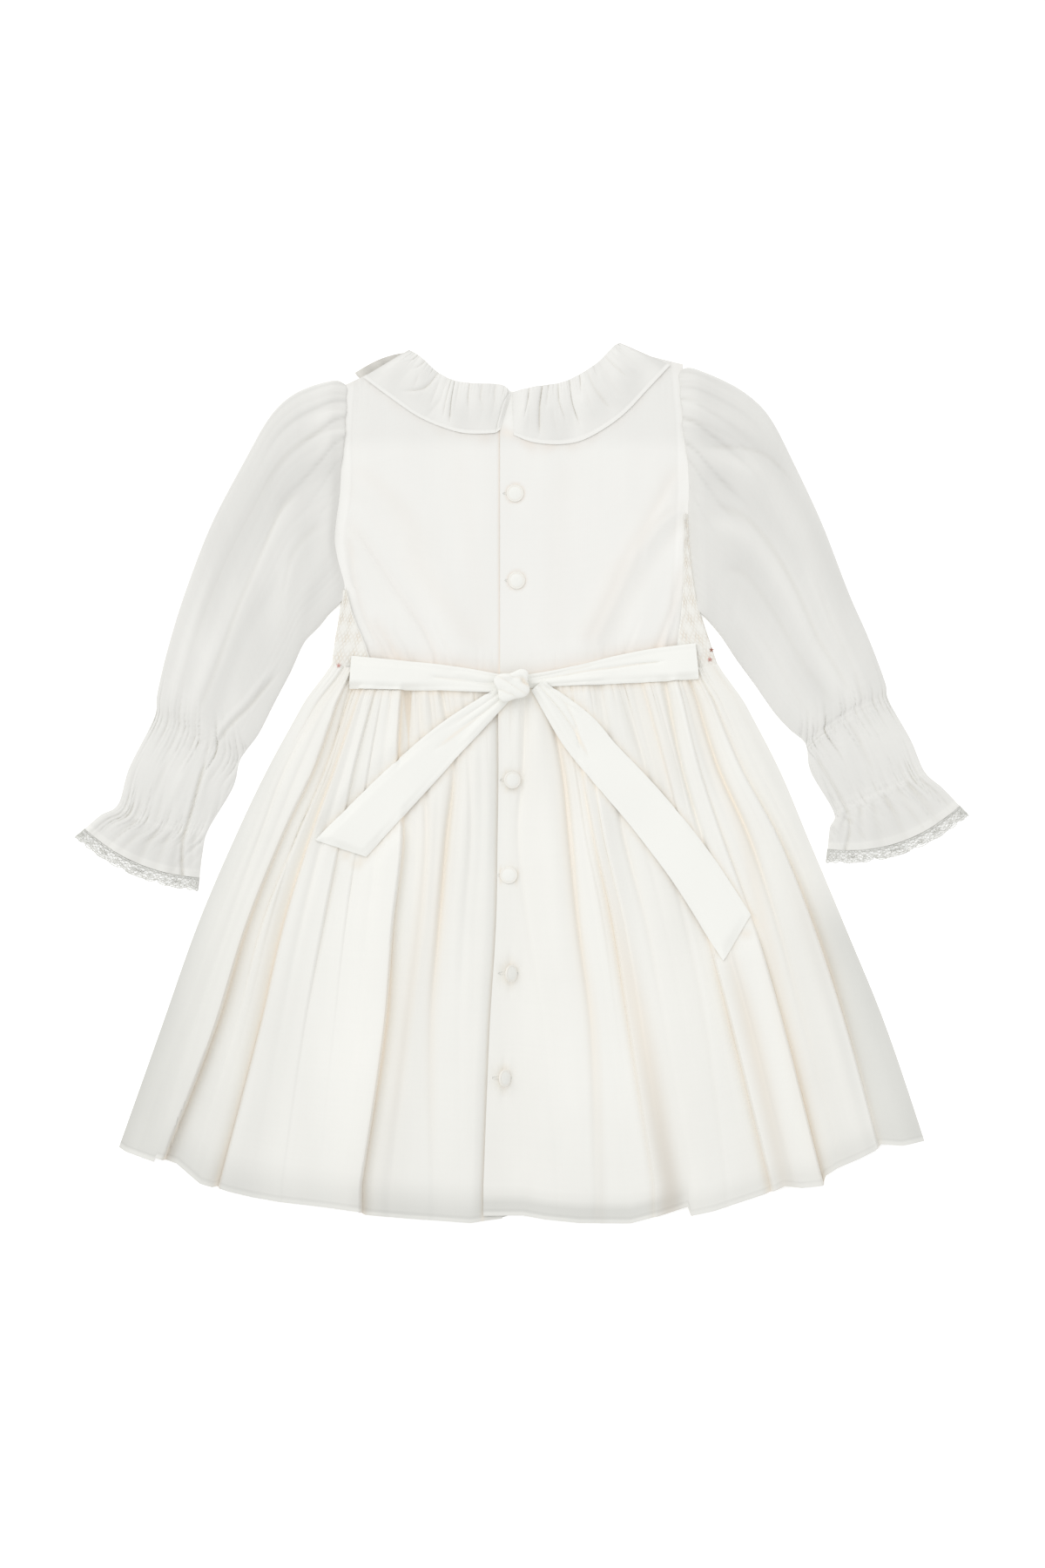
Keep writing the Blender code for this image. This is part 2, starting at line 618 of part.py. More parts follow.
def ring_point(ring, turn, wave, side):
    """A point on a flattened ring: turn 0 is its outer side, half a turn its inner side."""
    across = (1 - math.cos(turn)) / 2
    run_x = ring.inner_x - ring.outer_x
    run_y = ring.inner_y - ring.outer_y
    bend = ring.bow * math.sin(turn) ** 2 * side / math.hypot(run_x, run_y)
    x = ring.outer_x + run_x * across - run_y * bend
    y = ring.outer_y + run_y * across + run_x * bend
    lift = math.sin(turn)
    if lift < 0:
        return x, y, SLEEVE_EDGE * (1 - smooth_step(-2.2 * lift))
    arch = (ring.height - SLEEVE_EDGE) * lift**SLEEVE_CROWN
    return x, y, SLEEVE_EDGE + arch + ring.gather * wave * smooth_step(2.5 * lift)


def sleeve_turn(u):
    """The turn for a share of the way round, with most points on the upper layer."""
    if u <= SLEEVE_TOP_SHARE:
        return math.pi * u / SLEEVE_TOP_SHARE
    return math.pi + math.pi * (u - SLEEVE_TOP_SHARE) / (1 - SLEEVE_TOP_SHARE)


def sleeve(name, table, armhole, side, look):
    lines = len(SLEEVE_STOPS) - 1

    def place(u, v):
        stop = SLEEVE_STOPS[round(v * lines)]
        ring = row_at(table, stop)
        turn = sleeve_turn(u)
        waves = HEAD_WAVE if stop < HEAD_RINGS else CUFF_WAVE
        wave = waves[round(u * SLEEVE_ROUND) % len(waves)]
        x, y, z = ring_point(ring, turn, wave, side)
        hold = max(0.0, 1 - stop / ARMHOLE_RINGS) ** 2
        line = ring.outer_x + (ring.inner_x - ring.outer_x) * (1 - math.cos(turn)) / 2
        edge = along(column(armhole, "y"), column(armhole, "x"), y) + GAP * side
        return x + hold * (edge - line), y, z

    return cloth(name, SLEEVE_ROUND, lines, place, look, side=float(side), tube=True)


def lace(name, table, side, look):
    """Scalloped edging, one ring in line with the cuff's hem and one at the scallops' tips."""
    before = table[-2]
    hem = table[-1]
    outer_run = Vector((hem.outer_x - before.outer_x, hem.outer_y - before.outer_y)).normalized()
    inner_run = Vector((hem.inner_x - before.inner_x, hem.inner_y - before.inner_y)).normalized()
    columns = SCALLOPS * SCALLOP_POINTS

    def place(u, v):
        fall = GAP + LACE_FALL * v
        ring = hem._replace(
            outer_x=hem.outer_x + outer_run.x * fall,
            outer_y=hem.outer_y + outer_run.y * fall,
            inner_x=hem.inner_x + inner_run.x * fall,
            inner_y=hem.inner_y + inner_run.y * fall,
            bow=hem.bow + REST,
            height=hem.height - LACE_TAPER * v,
        )
        x, y, z = ring_point(ring, sleeve_turn(u), LACE_LEVEL, side)
        notch = SCALLOP_DEPTH * v if round(u * columns) % SCALLOP_POINTS == 0 else 0.0
        return x - outer_run.x * notch, y - outer_run.y * notch, z

    return cloth(name, columns, 2, place, look, side=float(side), tube=True)


# Collar


def collar_back(name, neck, edge, pleats, side, below, look):
    """A half of the ruffle on the back, from the centre back to the fold over the shoulder."""
    marks = (0.0, *pleats, 1.0)
    columns = 4 * (len(marks) - 1)

    def place(u, v):
        quarter = round(u * columns)
        pleat = quarter // 4
        through = quarter % 4 / 4
        wide = marks[min(pleat + 1, len(marks) - 1)] - marks[pleat]
        share = marks[pleat] + wide * through
        inner = row_at(neck, share * (len(neck) - 1))
        outer = row_at(edge, share * (len(edge) - 1))
        x = inner.x + (outer.x - inner.x) * v
        y = inner.y + (outer.y - inner.y) * v
        floor = max(below.height(x, y, COLLAR_REACH, COLLAR_FOOT), COLLAR_FOOT) + 2 * REST
        soft = (1 - 0.6 * share) * min(1.0, wide / COLLAR_PLEAT)
        wave = COLLAR_WAVE * soft * math.sin(math.pi * through) * (0.35 + 0.65 * math.sin(math.pi * v**0.7))
        stand = COLLAR_STAND + 4 * COLLAR_SWELL * v * (1 - v)
        closing = 0.25 + 0.75 * smooth_step((1 - share) / COLLAR_FOLD)
        return x, y, floor + (wave + stand) * closing

    return cloth(name, columns, 4, place, look, side=-float(side))


def collar_front(look):
    """The stretch of the ruffle on the front, flat under the bodice, from one shoulder to the other."""
    start = math.radians(181)
    end = math.radians(359)

    def place(u, v):
        turn = start + (end - start) * u
        out = math.cos(turn)
        reach = COLLAR_WIDTH * v * (FLAP_REACH if u == 0 else 1.0)
        x = CENTRE_X + (NECK_RADIUS + reach) * out
        y = NECK_Y + NECK_TILT * out + (FRONT_NECK_DROP + COLLAR_WIDTH * v) * math.sin(turn)
        return x, y - SHOULDER_DROP * v * abs(out) ** 6, 0.0

    return cloth("collar_front", 36, 3, place, look)


# Sash


def sash(name, table, below, look, slant=0.0):
    """A stretch of the sash, along the run of its middle, laid on what is below it."""
    columns = 3 + 3 * len(table)
    last = len(table) - 1

    def place(u, v):
        here = row_at(table, u * last)
        ahead = row_at(table, u * last + 0.05)
        behind = row_at(table, u * last - 0.05)
        run = Vector((ahead.x - behind.x, ahead.y - behind.y)).normalized()
        off = (v - 0.5) * here.width
        push = slant * (v - 0.5) * max(0.0, 4 * u - 3)
        x = here.x - run.y * off + run.x * push
        y = here.y + run.x * off + run.y * push
        return x, y, below.height(x, y, SASH_REACH, SASH_BARE) + 2 * REST

    made = cloth(name, columns, 4, place, look, wall=SASH_WALL)
    if sum(polygon.normal.z for polygon in made.data.polygons) < 0:
        made.data.flip_normals()
    return made


def knot(below, look):
    """The wrap of the knot: a ball pressed flat on the ends that go under it."""
    width, depth, height = KNOT_SIZE
    bm = bmesh.new()
    bmesh.ops.create_uvsphere(bm, u_segments=16, v_segments=8, radius=0.5)
    for vertex in bm.verts:
        across, up, level = vertex.co
        vertex.co = Vector((across * width, up * depth, max(level, -KNOT_FLAT) * height)) * MM
    bmesh.ops.rotate(bm, verts=bm.verts, matrix=Matrix.Rotation(math.radians(KNOT_TURN), 3, "Z"))
    mesh = bpy.data.meshes.new("sash_knot")
    bm.to_mesh(mesh)
    bm.free()
    made = add_object("sash_knot", mesh, look)
    top = max(
        below.height(KNOT_AT[0] + across * width / 3, KNOT_AT[1] + up * depth / 3, 4.0, SASH_BARE)
        for across in (-1, 0, 1)
        for up in (-1, 0, 1)
    )
    made.location = Vector((*KNOT_AT, top + REST + KNOT_FLAT * height)) * MM
    return made


# Buttons


def button_seat(spot, turned, below):
    """How high a button's back stands, so that its lowest points just clear what is below them."""
    lifts = []
    for out, up in BUTTON_PROFILE:
        for step in range(BUTTON_STEPS):
            angle = math.tau * step / BUTTON_STEPS
            point = turned @ Vector((out * math.cos(angle), out * math.sin(angle), up))
            top = below.height(spot.x + point.x, spot.y + point.y, 1.0, BODICE_BED)
            lifts.append(top - point.z)
    return max(lifts) + REST


def button(name, spot, below, look):
    """A covered button: a turned dome with a rolled rim, its flat back down."""
    mesh = bpy.data.meshes.new(name)
    points = [(out * MM, 0.0, up * MM) for out, up in BUTTON_PROFILE]
    mesh.from_pydata(points, [(index, index + 1) for index in range(len(points) - 1)], [])
    made = add_object(name, mesh, look)
    screw = made.modifiers.new("Turned", "SCREW")
    screw.steps = BUTTON_STEPS
    screw.render_steps = BUTTON_STEPS
    screw.use_merge_vertices = True
    screw.merge_threshold = 0.01 * MM
    screw.use_smooth_shade = True
    lean = math.radians(spot.lean)
    made.rotation_euler = (0.0, lean, 0.0)
    seat = button_seat(spot, Matrix.Rotation(lean, 3, "Y"), below)
    made.location = Vector((spot.x, spot.y, seat)) * MM
    return made


def build():
    for old in list(bpy.data.objects):
        bpy.data.objects.remove(old, do_unlink=True)
    dress = bpy.data.collections.new("Toddler dress")
    bpy.context.scene.collection.children.link(dress)

    cloth_look = material("Cotton lawn", CLOTH, 0.9)
    sheer_look = material("Cotton lawn unlined", SHEER, 0.9)
    lace_look = material("Cotton lace", LACE, 0.9)
    sash_look = material("Cotton sash", SASH, 0.8)

    collar_front(sheer_look)
    skirt_front(cloth_look)
    bodice_front(cloth_look)
    bodice_turn("front_side_left", SIDE_LEFT, TURN_TOP_LEFT, -1, cloth_look)
    bodice_turn("front_side_right", SIDE_RIGHT, TURN_TOP_RIGHT, 1, cloth_look)
    under_lap = tuple(x + UNDER_LAP for x in PLACKET_X)
    skirt_back("back_skirt_left", SKIRT_LEFT_EDGE, under_lap, FOLDS_LEFT, HEM_LEFT, cloth_look)
    skirt_back("back_skirt_right", SKIRT_RIGHT_EDGE, PLACKET_X, FOLDS_RIGHT, HEM_RIGHT, cloth_look)
    bodice_back("back_bodice_left", ARMHOLE_LEFT, SIDE_LEFT, -1, cloth_look)
    bodice_back("back_bodice_right", ARMHOLE_RIGHT, SIDE_RIGHT, 1, cloth_look)
    sleeve("sleeve_left", SLEEVE_LEFT, ARMHOLE_LEFT, -1, sheer_look)
    sleeve("sleeve_right", SLEEVE_RIGHT, ARMHOLE_RIGHT, 1, sheer_look)
    lace("lace_left", SLEEVE_LEFT, -1, lace_look)
    lace("lace_right", SLEEVE_RIGHT, 1, lace_look)

    bodice = ["back_bodice_left", "back_bodice_right", "front_bodice"]
    laid = Below(*bodice, "collar_front")
    half = (COLLAR_LEFT_NECK, COLLAR_LEFT_EDGE, COLLAR_LEFT_PLEATS)
    collar_back("collar_left", *half, -1, laid, sheer_look)
    laid = Below(*bodice, "collar_front", "collar_left")
    half = (COLLAR_RIGHT_NECK, COLLAR_RIGHT_EDGE, COLLAR_RIGHT_PLEATS)
    collar_back("collar_right", *half, 1, laid, sheer_look)

    back = [*bodice, "back_skirt_left", "back_skirt_right", "front_side_left", "front_side_right"]
    laid = Below(*back)
    for number, spot in enumerate(BUTTONS, start=1):
        button(f"button_{number}", spot, laid, sash_look)
    sash("sash_band_left", SASH_BAND_LEFT, laid, sash_look)
    sash("sash_band_right", SASH_BAND_RIGHT, laid, sash_look)
    back += ["sash_band_left", "sash_band_right"]
    sash("sash_tail_left", SASH_TAIL_LEFT, Below(*back), sash_look, TAIL_SLANT)
    back.append("sash_tail_left")
    sash("sash_tail_right", SASH_TAIL_RIGHT, Below(*back), sash_look, TAIL_SLANT)
    back.append("sash_tail_right")
    knot(Below(*back), sash_look)


build()
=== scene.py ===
"""A toddler's dress with a smocked front, laid flat with its buttoned back up, dressed and lit.

The tables are in millimetres: +X is the dress's right-hand side as it lies, +Y runs to the neck, +Z is up.
Every piece of cloth is a fine grid that the tables shape and that gets its thickness as a thin shell.
"""

import math
from collections import namedtuple
from types import SimpleNamespace

import bmesh
import bpy
import numpy as np
from mathutils import Matrix, Vector
from mathutils.bvhtree import BVHTree

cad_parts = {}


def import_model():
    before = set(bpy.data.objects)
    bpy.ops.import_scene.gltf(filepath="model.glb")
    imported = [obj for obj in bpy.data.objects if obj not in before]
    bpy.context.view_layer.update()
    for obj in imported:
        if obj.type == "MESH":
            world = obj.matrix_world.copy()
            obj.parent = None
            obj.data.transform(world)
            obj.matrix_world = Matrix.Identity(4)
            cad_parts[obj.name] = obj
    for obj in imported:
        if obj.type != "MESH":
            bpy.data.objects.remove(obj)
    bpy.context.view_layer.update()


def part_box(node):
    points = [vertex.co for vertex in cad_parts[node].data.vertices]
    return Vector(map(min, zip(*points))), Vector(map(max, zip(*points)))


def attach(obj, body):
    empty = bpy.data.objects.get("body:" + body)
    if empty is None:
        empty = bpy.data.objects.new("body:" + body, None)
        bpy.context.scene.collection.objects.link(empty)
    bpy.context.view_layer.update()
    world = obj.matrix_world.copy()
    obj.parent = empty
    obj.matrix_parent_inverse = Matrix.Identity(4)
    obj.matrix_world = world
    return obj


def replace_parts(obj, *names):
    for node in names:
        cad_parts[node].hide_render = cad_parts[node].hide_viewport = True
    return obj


bl_info = {
    "name": "Smocked Toddler Dress",
    "version": (1, 0, 0),
    "blender": (4, 5, 0),
    "location": "View3D > Sidebar > Dress",
    "description": "Builds the cloth, trimmings and soft light of a toddler's dress laid flat",
    "category": "Object",
}

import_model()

Armhole = namedtuple("Armhole", "y x")
Side = namedtuple("Side", "y seam_x outer_x")
Fold = namedtuple("Fold", "xs rises lip roll")
ShadeStreak = namedtuple("ShadeStreak", "xs warms greys half")
Hang = namedtuple("Hang", "shift pitch rise shortest longest")
Track = namedtuple("Track", "stops places rise half")
Fade = namedtuple("Fade", "lead start trail stop")
Point = namedtuple("Point", "x y")
Ring = namedtuple("Ring", "outer_x outer_y inner_x inner_y bow height")
Stretch = namedtuple("Stretch", "x y width")
Button = namedtuple("Button", "x y lean")
Panel = namedtuple("Panel", "wide long share held columns lines")


def rows(kind, *table):
    """A table's rows, with the names of its columns."""
    return [kind(*row) for row in table]


MM = 0.001  # metres in a millimetre
SOLID_WALL = 1.0  # the wall of the solids that the cloth lies in
GAP = 0.3
REST = 0.4

LEFT = -1
RIGHT = 1
NAMES = {LEFT: "left", RIGHT: "right"}

CENTRE_X = -6.0  # the placket's line on the bodice
NECK_RADIUS = 66.0  # half the neckline's width
NECK_Y = 275.8  # the neck points' mean place up the dress
NECK_TILT = 2.2  # the right-hand one lies this much above it, the left-hand one below
FRONT_NECK_DROP = 50.0  # how far the neckline sinks below them on the front
NECK_INSET = 3.6  # the bodice's neck edge lies this far under the collar's
LEFT_SHOULDER_FALL = 0.46  # slopes of the shoulders
RIGHT_SHOULDER_FALL = 0.24
LAP_EDGE_X = -14.5  # where the right half's placket ends on the left half
UNDER_LAP = 12.0  # the left half runs this far under it

WAIST_Y = 66.0  # the waist seam at the centre back
WAIST_RISE = 9.0  # and how much higher it is at the sides
WAIST_HALF = 122.0
CORNER_DRAW = 4.0  # the gathers draw the skirt's top corners in this far

# The armholes, from the shoulder to the armpit.
ARMHOLES = {
    LEFT: rows(
        Armhole, (252, -114), (219, -116), (186, -116), (156, -120), (142, -119), (124, -114.5)
    ),
    RIGHT: rows(
        Armhole, (261, 101), (230, 104), (186, 105), (170, 104.5), (142, 107), (116, 112)
    ),
}

# The bodice's side seams and the outer edge of the smocked front, from the armpit to the waist.
SIDES = {
    LEFT: rows(
        Side, (123, -113, -114), (111, -110, -115.5), (102, -107, -117), (90, -102, -119), (75, -97, -121)
    ),
    RIGHT: rows(
        Side,
        (174, 104.2, 104.2), (150, 103.4, 105.4), (116, 102, 110), (105, 101, 113), (90, 99, 118),
        (75, 98, 123),
    ),
}
TURN_TOPS = {LEFT: 118, RIGHT: 148}  # where the front's turned edge starts, below the armpit
TURN_HEIGHT = 5.2
TURN_SPAN = 22.0  # the front under it narrows from this far above
TURN_INSET = 3.4
TURN_ROUND = 0.34  # the share of the turned edge's columns that go round its fold
TURN_ANGLE = 0.8 * math.pi
SMOCKING_RELIEF = 0.7

BODICE_BED = 3.0  # the back lies this high at its edges
BODICE_SWELL = 1.4  # and this much higher between them
LAP_RISE = 1.1  # the upper half's rise at the placket
LAP_DIP = 0.4
FRONT_LIFT = 1.3  # the front bodice rides this high on the front collar
FRONT_LIFT_Y = 178.0  # from here up
BODICE_CREASES = {
    LEFT: rows(
        Track,
        ((85, 140, 197), (-40, -57, -103), 1.6, 11),
        ((82, 119, 156), (-57, -78, -104), 1.3, 7),
        ((80, 97, 119, 145, 163), (-55, -63, -78, -95, -108), -0.7, 1.6),
        ((82, 105, 131, 154), (-88, -100, -107, -109), -0.6, 2),
        ((79, 88, 99), (-79, -84, -91), -1, 2.2),
        ((78, 86, 95), (-70, -74, -80), -0.6, 1.6),
        ((76, 85, 98), (-42, -47, -54), -0.5, 1.8),
    ),
    RIGHT: rows(
        Track,
        ((87, 140, 180), (39, 67, 99), 1.7, 10),
        ((85, 120, 150), (90, 97, 101), 1, 7),
        ((84, 94, 113, 133), (84, 88, 95, 99), -0.8, 2),
        ((85, 98, 118), (92, 95, 99), -0.5, 1.5),
        ((150, 164, 176), (74, 84, 99), -0.5, 3),
        ((92, 121, 144, 172, 196), (42, 56, 66, 83, 95), -0.5, 3.5),
        ((80, 90, 102), (64, 68, 73), -0.4, 1.8),
    ),
}

# The skirt's edges and folds, whose x and rise are given at these depths below WAIST_Y.
SKIRT_DEPTHS = (0, 55, 100, 155, 220, 320)
SKIRT_EDGES = {LEFT: (-130, -160.5, -182, -205.5, -228.5, -264), RIGHT: (132, 161, 180, 203, 229.5, 263)}
PLACKET_X = (-16, -15.5, -16, -17, -21, -25)
GASH_RUN = (-73, -72, -72, -76, -82, -95)  # a fold stands open in the gathers from the waist down here
GASH_HALF = 3.6  # half its width at the waist
GASH_DEPTH = 58.0
# lip is the side on which the cloth stands high: -1 left, 1 right, 0 a valley between two rolls.
FOLDS = {
    LEFT: rows(
        Fold,
        ((-119, -149, -166, -186, -208, -238), (1.5, 2, 1.5, 0.6, 0.2, 0.1), 0, 7),
        ((-112, -131, -152, -174, -194, -233), (2.5, 3.5, 3.5, 5, 7, 7), -1, 17),
        ((-106, -124, -143, -165, -182, -212), (2, 3, 3, 1.4, 0.4, 0.1), 1, 8),
        ((-100, -118, -134, -151, -166, -192), (2.5, 4, 4.5, 6, 6.5, 6.5), 1, 18),
        ((-91, -106, -115, -126, -138, -152), (2, 2.5, 2.5, 1.8, 0.6, 0.2), -1, 9),
        ((-76, -79, -76, -82, -87, -102), (4.5, 6, 6.5, 6, 6.5, 6.5), -1, 18),
        ((-66, -63, -61, -65, -73, -84), (2, 2, 2, 1, 0.5, 0.3), 0, 8),
        ((-53, -44, -48, -53, -58, -57), (3, 3.5, 5, 3.2, 0.9, 0.3), 0, 10),
        ((-38, -34, -33, -37, -40, -40), (2, 1.5, 1, 0.5, 0.2, 0.1), 0, 8),
        ((-122, -154, -172, -194, -217, -250), (0.5, 0.9, 0.9, 0.42, 0.12, 0), 0, 6),
        ((-115, -140, -158, -180, -201, -228), (0.4, 0.8, 0.7, 0.36, 0.15, 0), 0, 6),
        ((-109, -123, -143, -160, -176, -205), (0.6, 1, 0.9, 0.42, 0.12, 0), -1, 6),
        ((-97, -112, -126, -140, -153, -170), (0.6, 1, 1.1, 0.66, 0.2, 0), 0, 5),
        ((-87, -97, -104, -112, -119, -129), (0.8, 1.2, 1.2, 0.6, 0.23, 0), -1, 6),
        ((-82, -88, -91, -98, -105, -118), (0.5, 0.9, 0.8, 0.36, 0.12, 0), 0, 5),
        ((-70, -70, -68, -72, -79, -93), (0.6, 0.9, 0.7, 0.3, 0.1, 0), 0, 5),
        ((-59, -54, -55, -59, -66, -72), (0.5, 0.8, 0.7, 0.3, 0.1, 0), 0, 6),
        ((-45, -40, -41, -45, -48, -48), (0.5, 0.7, 0.6, 0.24, 0.07, 0), 0, 5),
        ((-29, -26, -26, -30, -32, -33), (0.4, 0.6, 0.5, 0.24, 0.1, 0), 0, 6),
        (GASH_RUN, (3.2, 1, 0, 0, 0, 0), 0, 8),
    ),
    RIGHT: rows(
        Fold,
        ((2, 0, -3, 3, 13, 22), (2, 1.8, 1, 0.5, 0.2, 0.1), 0, 8),
        ((13, 25, 30, 35, 43, 46), (3.5, 5, 5.5, 3.5, 1.6, 0.6), 0, 12),
        ((30, 37, 45, 57, 67, 83), (2, 3.5, 3.5, 3.5, 2.6, 1.8), 1, 9),
        ((47, 57, 64, 78, 90, 108), (2, 2.5, 2.5, 1.2, 0.4, 0.2), 0, 9),
        ((61, 77, 88, 103, 116, 129), (2, 2.5, 2, 1, 0.6, 0.4), 0, 9),
        ((75, 90, 101, 115, 132, 157), (2, 2.5, 2, 4, 5.5, 6), 1, 14),
        ((89, 100, 113, 128, 146, 172), (3.5, 5.5, 4.5, 1.5, 0.6, 0.3), 0, 9),
        ((98, 111, 126, 146, 165, 190), (1.5, 2, 2, 3, 4.5, 6), -1, 11),
        ((106, 123, 143, 161, 178, 204), (3, 5, 4, 2.2, 0.8, 0.4), 0, 10),
        ((114, 137, 161, 183, 204, 231), (2, 3, 5, 7, 5, 2), -1, 16),
        ((20, 31, 38, 46, 55, 64), (0.5, 0.9, 0.9, 0.42, 0.12, 0), 0, 6),
        ((24, 33, 40, 51, 60, 74), (0.6, 1.1, 0.9, 0.42, 0.12, 0), -1, 6),
        ((37, 44, 51, 64, 75, 90), (0.8, 1.6, 1.7, 0.9, 0.33, 0), 1, 6),
        ((54, 66, 76, 90, 103, 118), (0.5, 0.8, 0.7, 0.3, 0.1, 0), 0, 6),
        ((68, 83, 94, 109, 124, 143), (0.5, 0.8, 0.7, 0.42, 0.2, 0), 0, 6),
        ((82, 97, 108, 124, 143, 167), (0.7, 1.1, 1, 0.72, 0.35, 0), 1, 7),
        ((93, 106, 120, 137, 156, 181), (0.5, 0.9, 0.8, 0.36, 0.15, 0), 0, 6),
        ((102, 117, 134, 153, 171, 197), (0.5, 0.8, 0.7, 0.36, 0.12, 0), 0, 5),
        ((110, 130, 152, 172, 191, 217), (0.5, 0.9, 0.8, 0.42, 0.12, 0), 0, 6),
        ((122, 148, 171, 193, 216, 246), (0.5, 0.9, 0.9, 0.42, 0.12, 0), 0, 6),
    ),
}
VALLEY_HALF = 2.2  # half the width of a valley's floor
VALLEY_SHARE = 0.8  # the shares of a fold's rise that its valley, shoulders and foot take
SHOULDER_SHARE = 0.35
FOOT_SHARE = 0.3
LIP_WIDTH = 1.4  # the cloth climbs to a lip over this width
SKIRT_BED = 2.6  # the back lies this high off the front between its folds
SIDE_ROLL = 14.0  # and comes down to it over this width at the side seams
PLACKET_BED = 1.2  # the under half's height in the lap
PLACKET_RISE = 0.9  # the upper half's, above the bed
PLACKET_ROLL = 9.0
PLACKET_RIDGE = 14.0

# The hem's edge from left to right. A step is a fold's end.
HEMS = {
    LEFT: rows(
        Point,
        (-255.5, -230), (-251, -232.8), (-232.4, -238.5), (-231.5, -236), (-219, -240), (-211, -247),
        (-204, -253), (-196.5, -255.3), (-193.3, -254.5), (-186, -257.2), (-171, -261.3), (-154, -264.5),
        (-132, -267), (-104, -270), (-100, -272.7), (-72, -275), (-33, -277.8), (-13, -275),
    ),
    RIGHT: rows(
        Point,
        (-25, -273), (0, -273), (14, -275.6), (36, -277.8), (68, -278), (85, -273.5), (104, -267.5),
        (106, -273.5), (121, -270.2), (137, -264.8), (153, -259.5), (165, -254), (176, -255.5), (190, -253.5),
        (192, -247.5), (199, -243), (212, -237.3), (222.5, -231.8), (226, -228), (240, -229), (255, -226),
    ),
}

# The front's hem and sides lie a little inside the back's.
FRONT_HEM = rows(
    Point,
    (-255.5, -230), (-251, -230.5), (-229.5, -236.5), (-218, -238), (-209, -245), (-196, -252.5),
    (-171, -259), (-132, -265), (-104, -268), (-72, -273), (-33, -276.5), (-24, -276), (-13, -274.5),
    (0, -271), (14, -273.6), (36, -275.8), (68, -276), (85, -271.5), (104, -265.5), (121, -268),
    (137, -262.5), (153, -257.5), (161, -250.5), (176, -253), (190, -247.5), (199, -241), (212, -235.3),
    (222.5, -230), (226, -225.5), (236, -226), (244, -224), (255, -223),
)
FRONT_SIDE_INSET = 1.0

# The sleeves, ring by ring from the armhole to the cuff. bow bends a ring's middle towards the hand.
SLEEVES = {
    LEFT: rows(
        Ring,
        (-115.5, 252, -115.5, 124, 0, 5.5),
        (-126.5, 254.5, -125, 110, 0, 9.5),
        (-146, 247.5, -131, 98.5, 0, 9),
        (-161, 230.5, -139, 87.5, 0, 8),
        (-175, 206, -147, 70, 0, 7),
        (-197, 164, -157, 51, 0, 6.2),
        (-214, 120, -165.5, 34, 0, 5.9),
        (-225, 84, -170, 27, 0, 5.9),
        (-231.5, 56, -175, 20.5, 0.5, 5.4),
        (-233.5, 41, -179.5, 13, 1, 4.6),
        (-249, 10, -183.5, -3, 2.5, 5.9),
        (-256, -13, -199, -29.5, 5.5, 4.6),
        (-267, -20, -202.5, -43.5, 6.5, 5.9),
        (-277, -28.5, -204.5, -59.5, 7, 5.7),
    ),
    RIGHT: rows(
        Ring,
        (101.5, 261, 112.5, 116, 0, 5.5),
        (115, 262, 118, 105.5, 0, 9.5),
        (138, 251, 123.5, 96.5, 0, 9),
        (156, 231.5, 129, 87, 0, 8),
        (171, 203, 136, 76.5, 0, 7),
        (189, 164.5, 147, 61.5, 0, 6.2),
        (206, 120.5, 158.5, 45, 0, 5.9),
        (218.5, 92, 168.5, 34, 0, 5.9),
        (229, 64, 176.5, 27.5, -2, 5.4),
        (231.5, 52, 179.5, 22, -4, 4.6),
        (245, 28, 182, 7, -1, 5.9),
        (254, 7.5, 196.5, -18.5, 0, 4.6),
        (265.5, -3, 194, -28, 6.5, 5.9),
        (276, -14, 192.5, -41.5, 10, 5.7),
    ),
}
SLEEVE_TOP_SHARE = 0.7  # the share of a sleeve's columns on its upper layer
HEAD_ROUND = 128.0  # the way round a sleeve's head
SLEEVE_EDGE = 2.0  # height of a flattened ring's two side folds
SLEEVE_CROWN = 0.75  # under 1, the upper layer is flatter than an arch
ARMHOLE_RINGS = 3.0  # the rings that ease from the armhole's curve to a straight one

LACE_FALL = 8.0  # width of the lace below the cuff's hem
LACE_TAPER = 0.8
SCALLOPS = 16
SCALLOP_DEPTH = 1.6

# The collar's edges, each point of the neck's with the one that lies out from it, from the centre back to the
# shoulder, and its pleats, as shares of that way.
COLLAR_NECKS = {
    LEFT: rows(
        Point,
        (-7.5, 246.5), (-14, 251.5), (-33, 252.5), (-45, 254.7), (-55, 260.2), (-64.5, 269), (-72, 273.5),
    ),
    RIGHT: rows(
        Point, (-6.5, 247), (7.5, 250.3), (22.5, 252.5), (32.5, 256.3), (46.5, 265), (56.5, 275), (61, 278)
    ),
}
COLLAR_EDGES = {
    LEFT: rows(
        Point, (-14.5, 223), (-19.5, 221), (-37, 221), (-53, 225.5), (-68, 232.5), (-86, 245), (-101, 256.3)
    ),
    RIGHT: rows(
        Point, (-6, 219.8), (7, 215.1), (25, 214), (41, 218), (62, 231.5), (80, 250), (93, 264)
    ),
}
COLLAR_PLEATS = {
    LEFT: (0.1, 0.19, 0.25, 0.32, 0.42, 0.54, 0.68, 0.83),
    RIGHT: (0.13, 0.21, 0.32, 0.43, 0.55, 0.62, 0.7, 0.87),
}
COLLAR_WIDTH = 29.0
COLLAR_HEM = 2.0
COLLAR_WAVE = 2.8
FRONT_PLEATS = 34  # round the front collar
COLLAR_PLEAT = 0.12  # a pleat narrower than this share stands less high
COLLAR_STAND = 1.2
COLLAR_SWELL = 1.6
COLLAR_REACH = 7.0
COLLAR_FOOT = 4.4  # its lowest height, at the fold on the shoulder
COLLAR_FOLD = 0.06  # the share of its length over which it closes on the shoulder
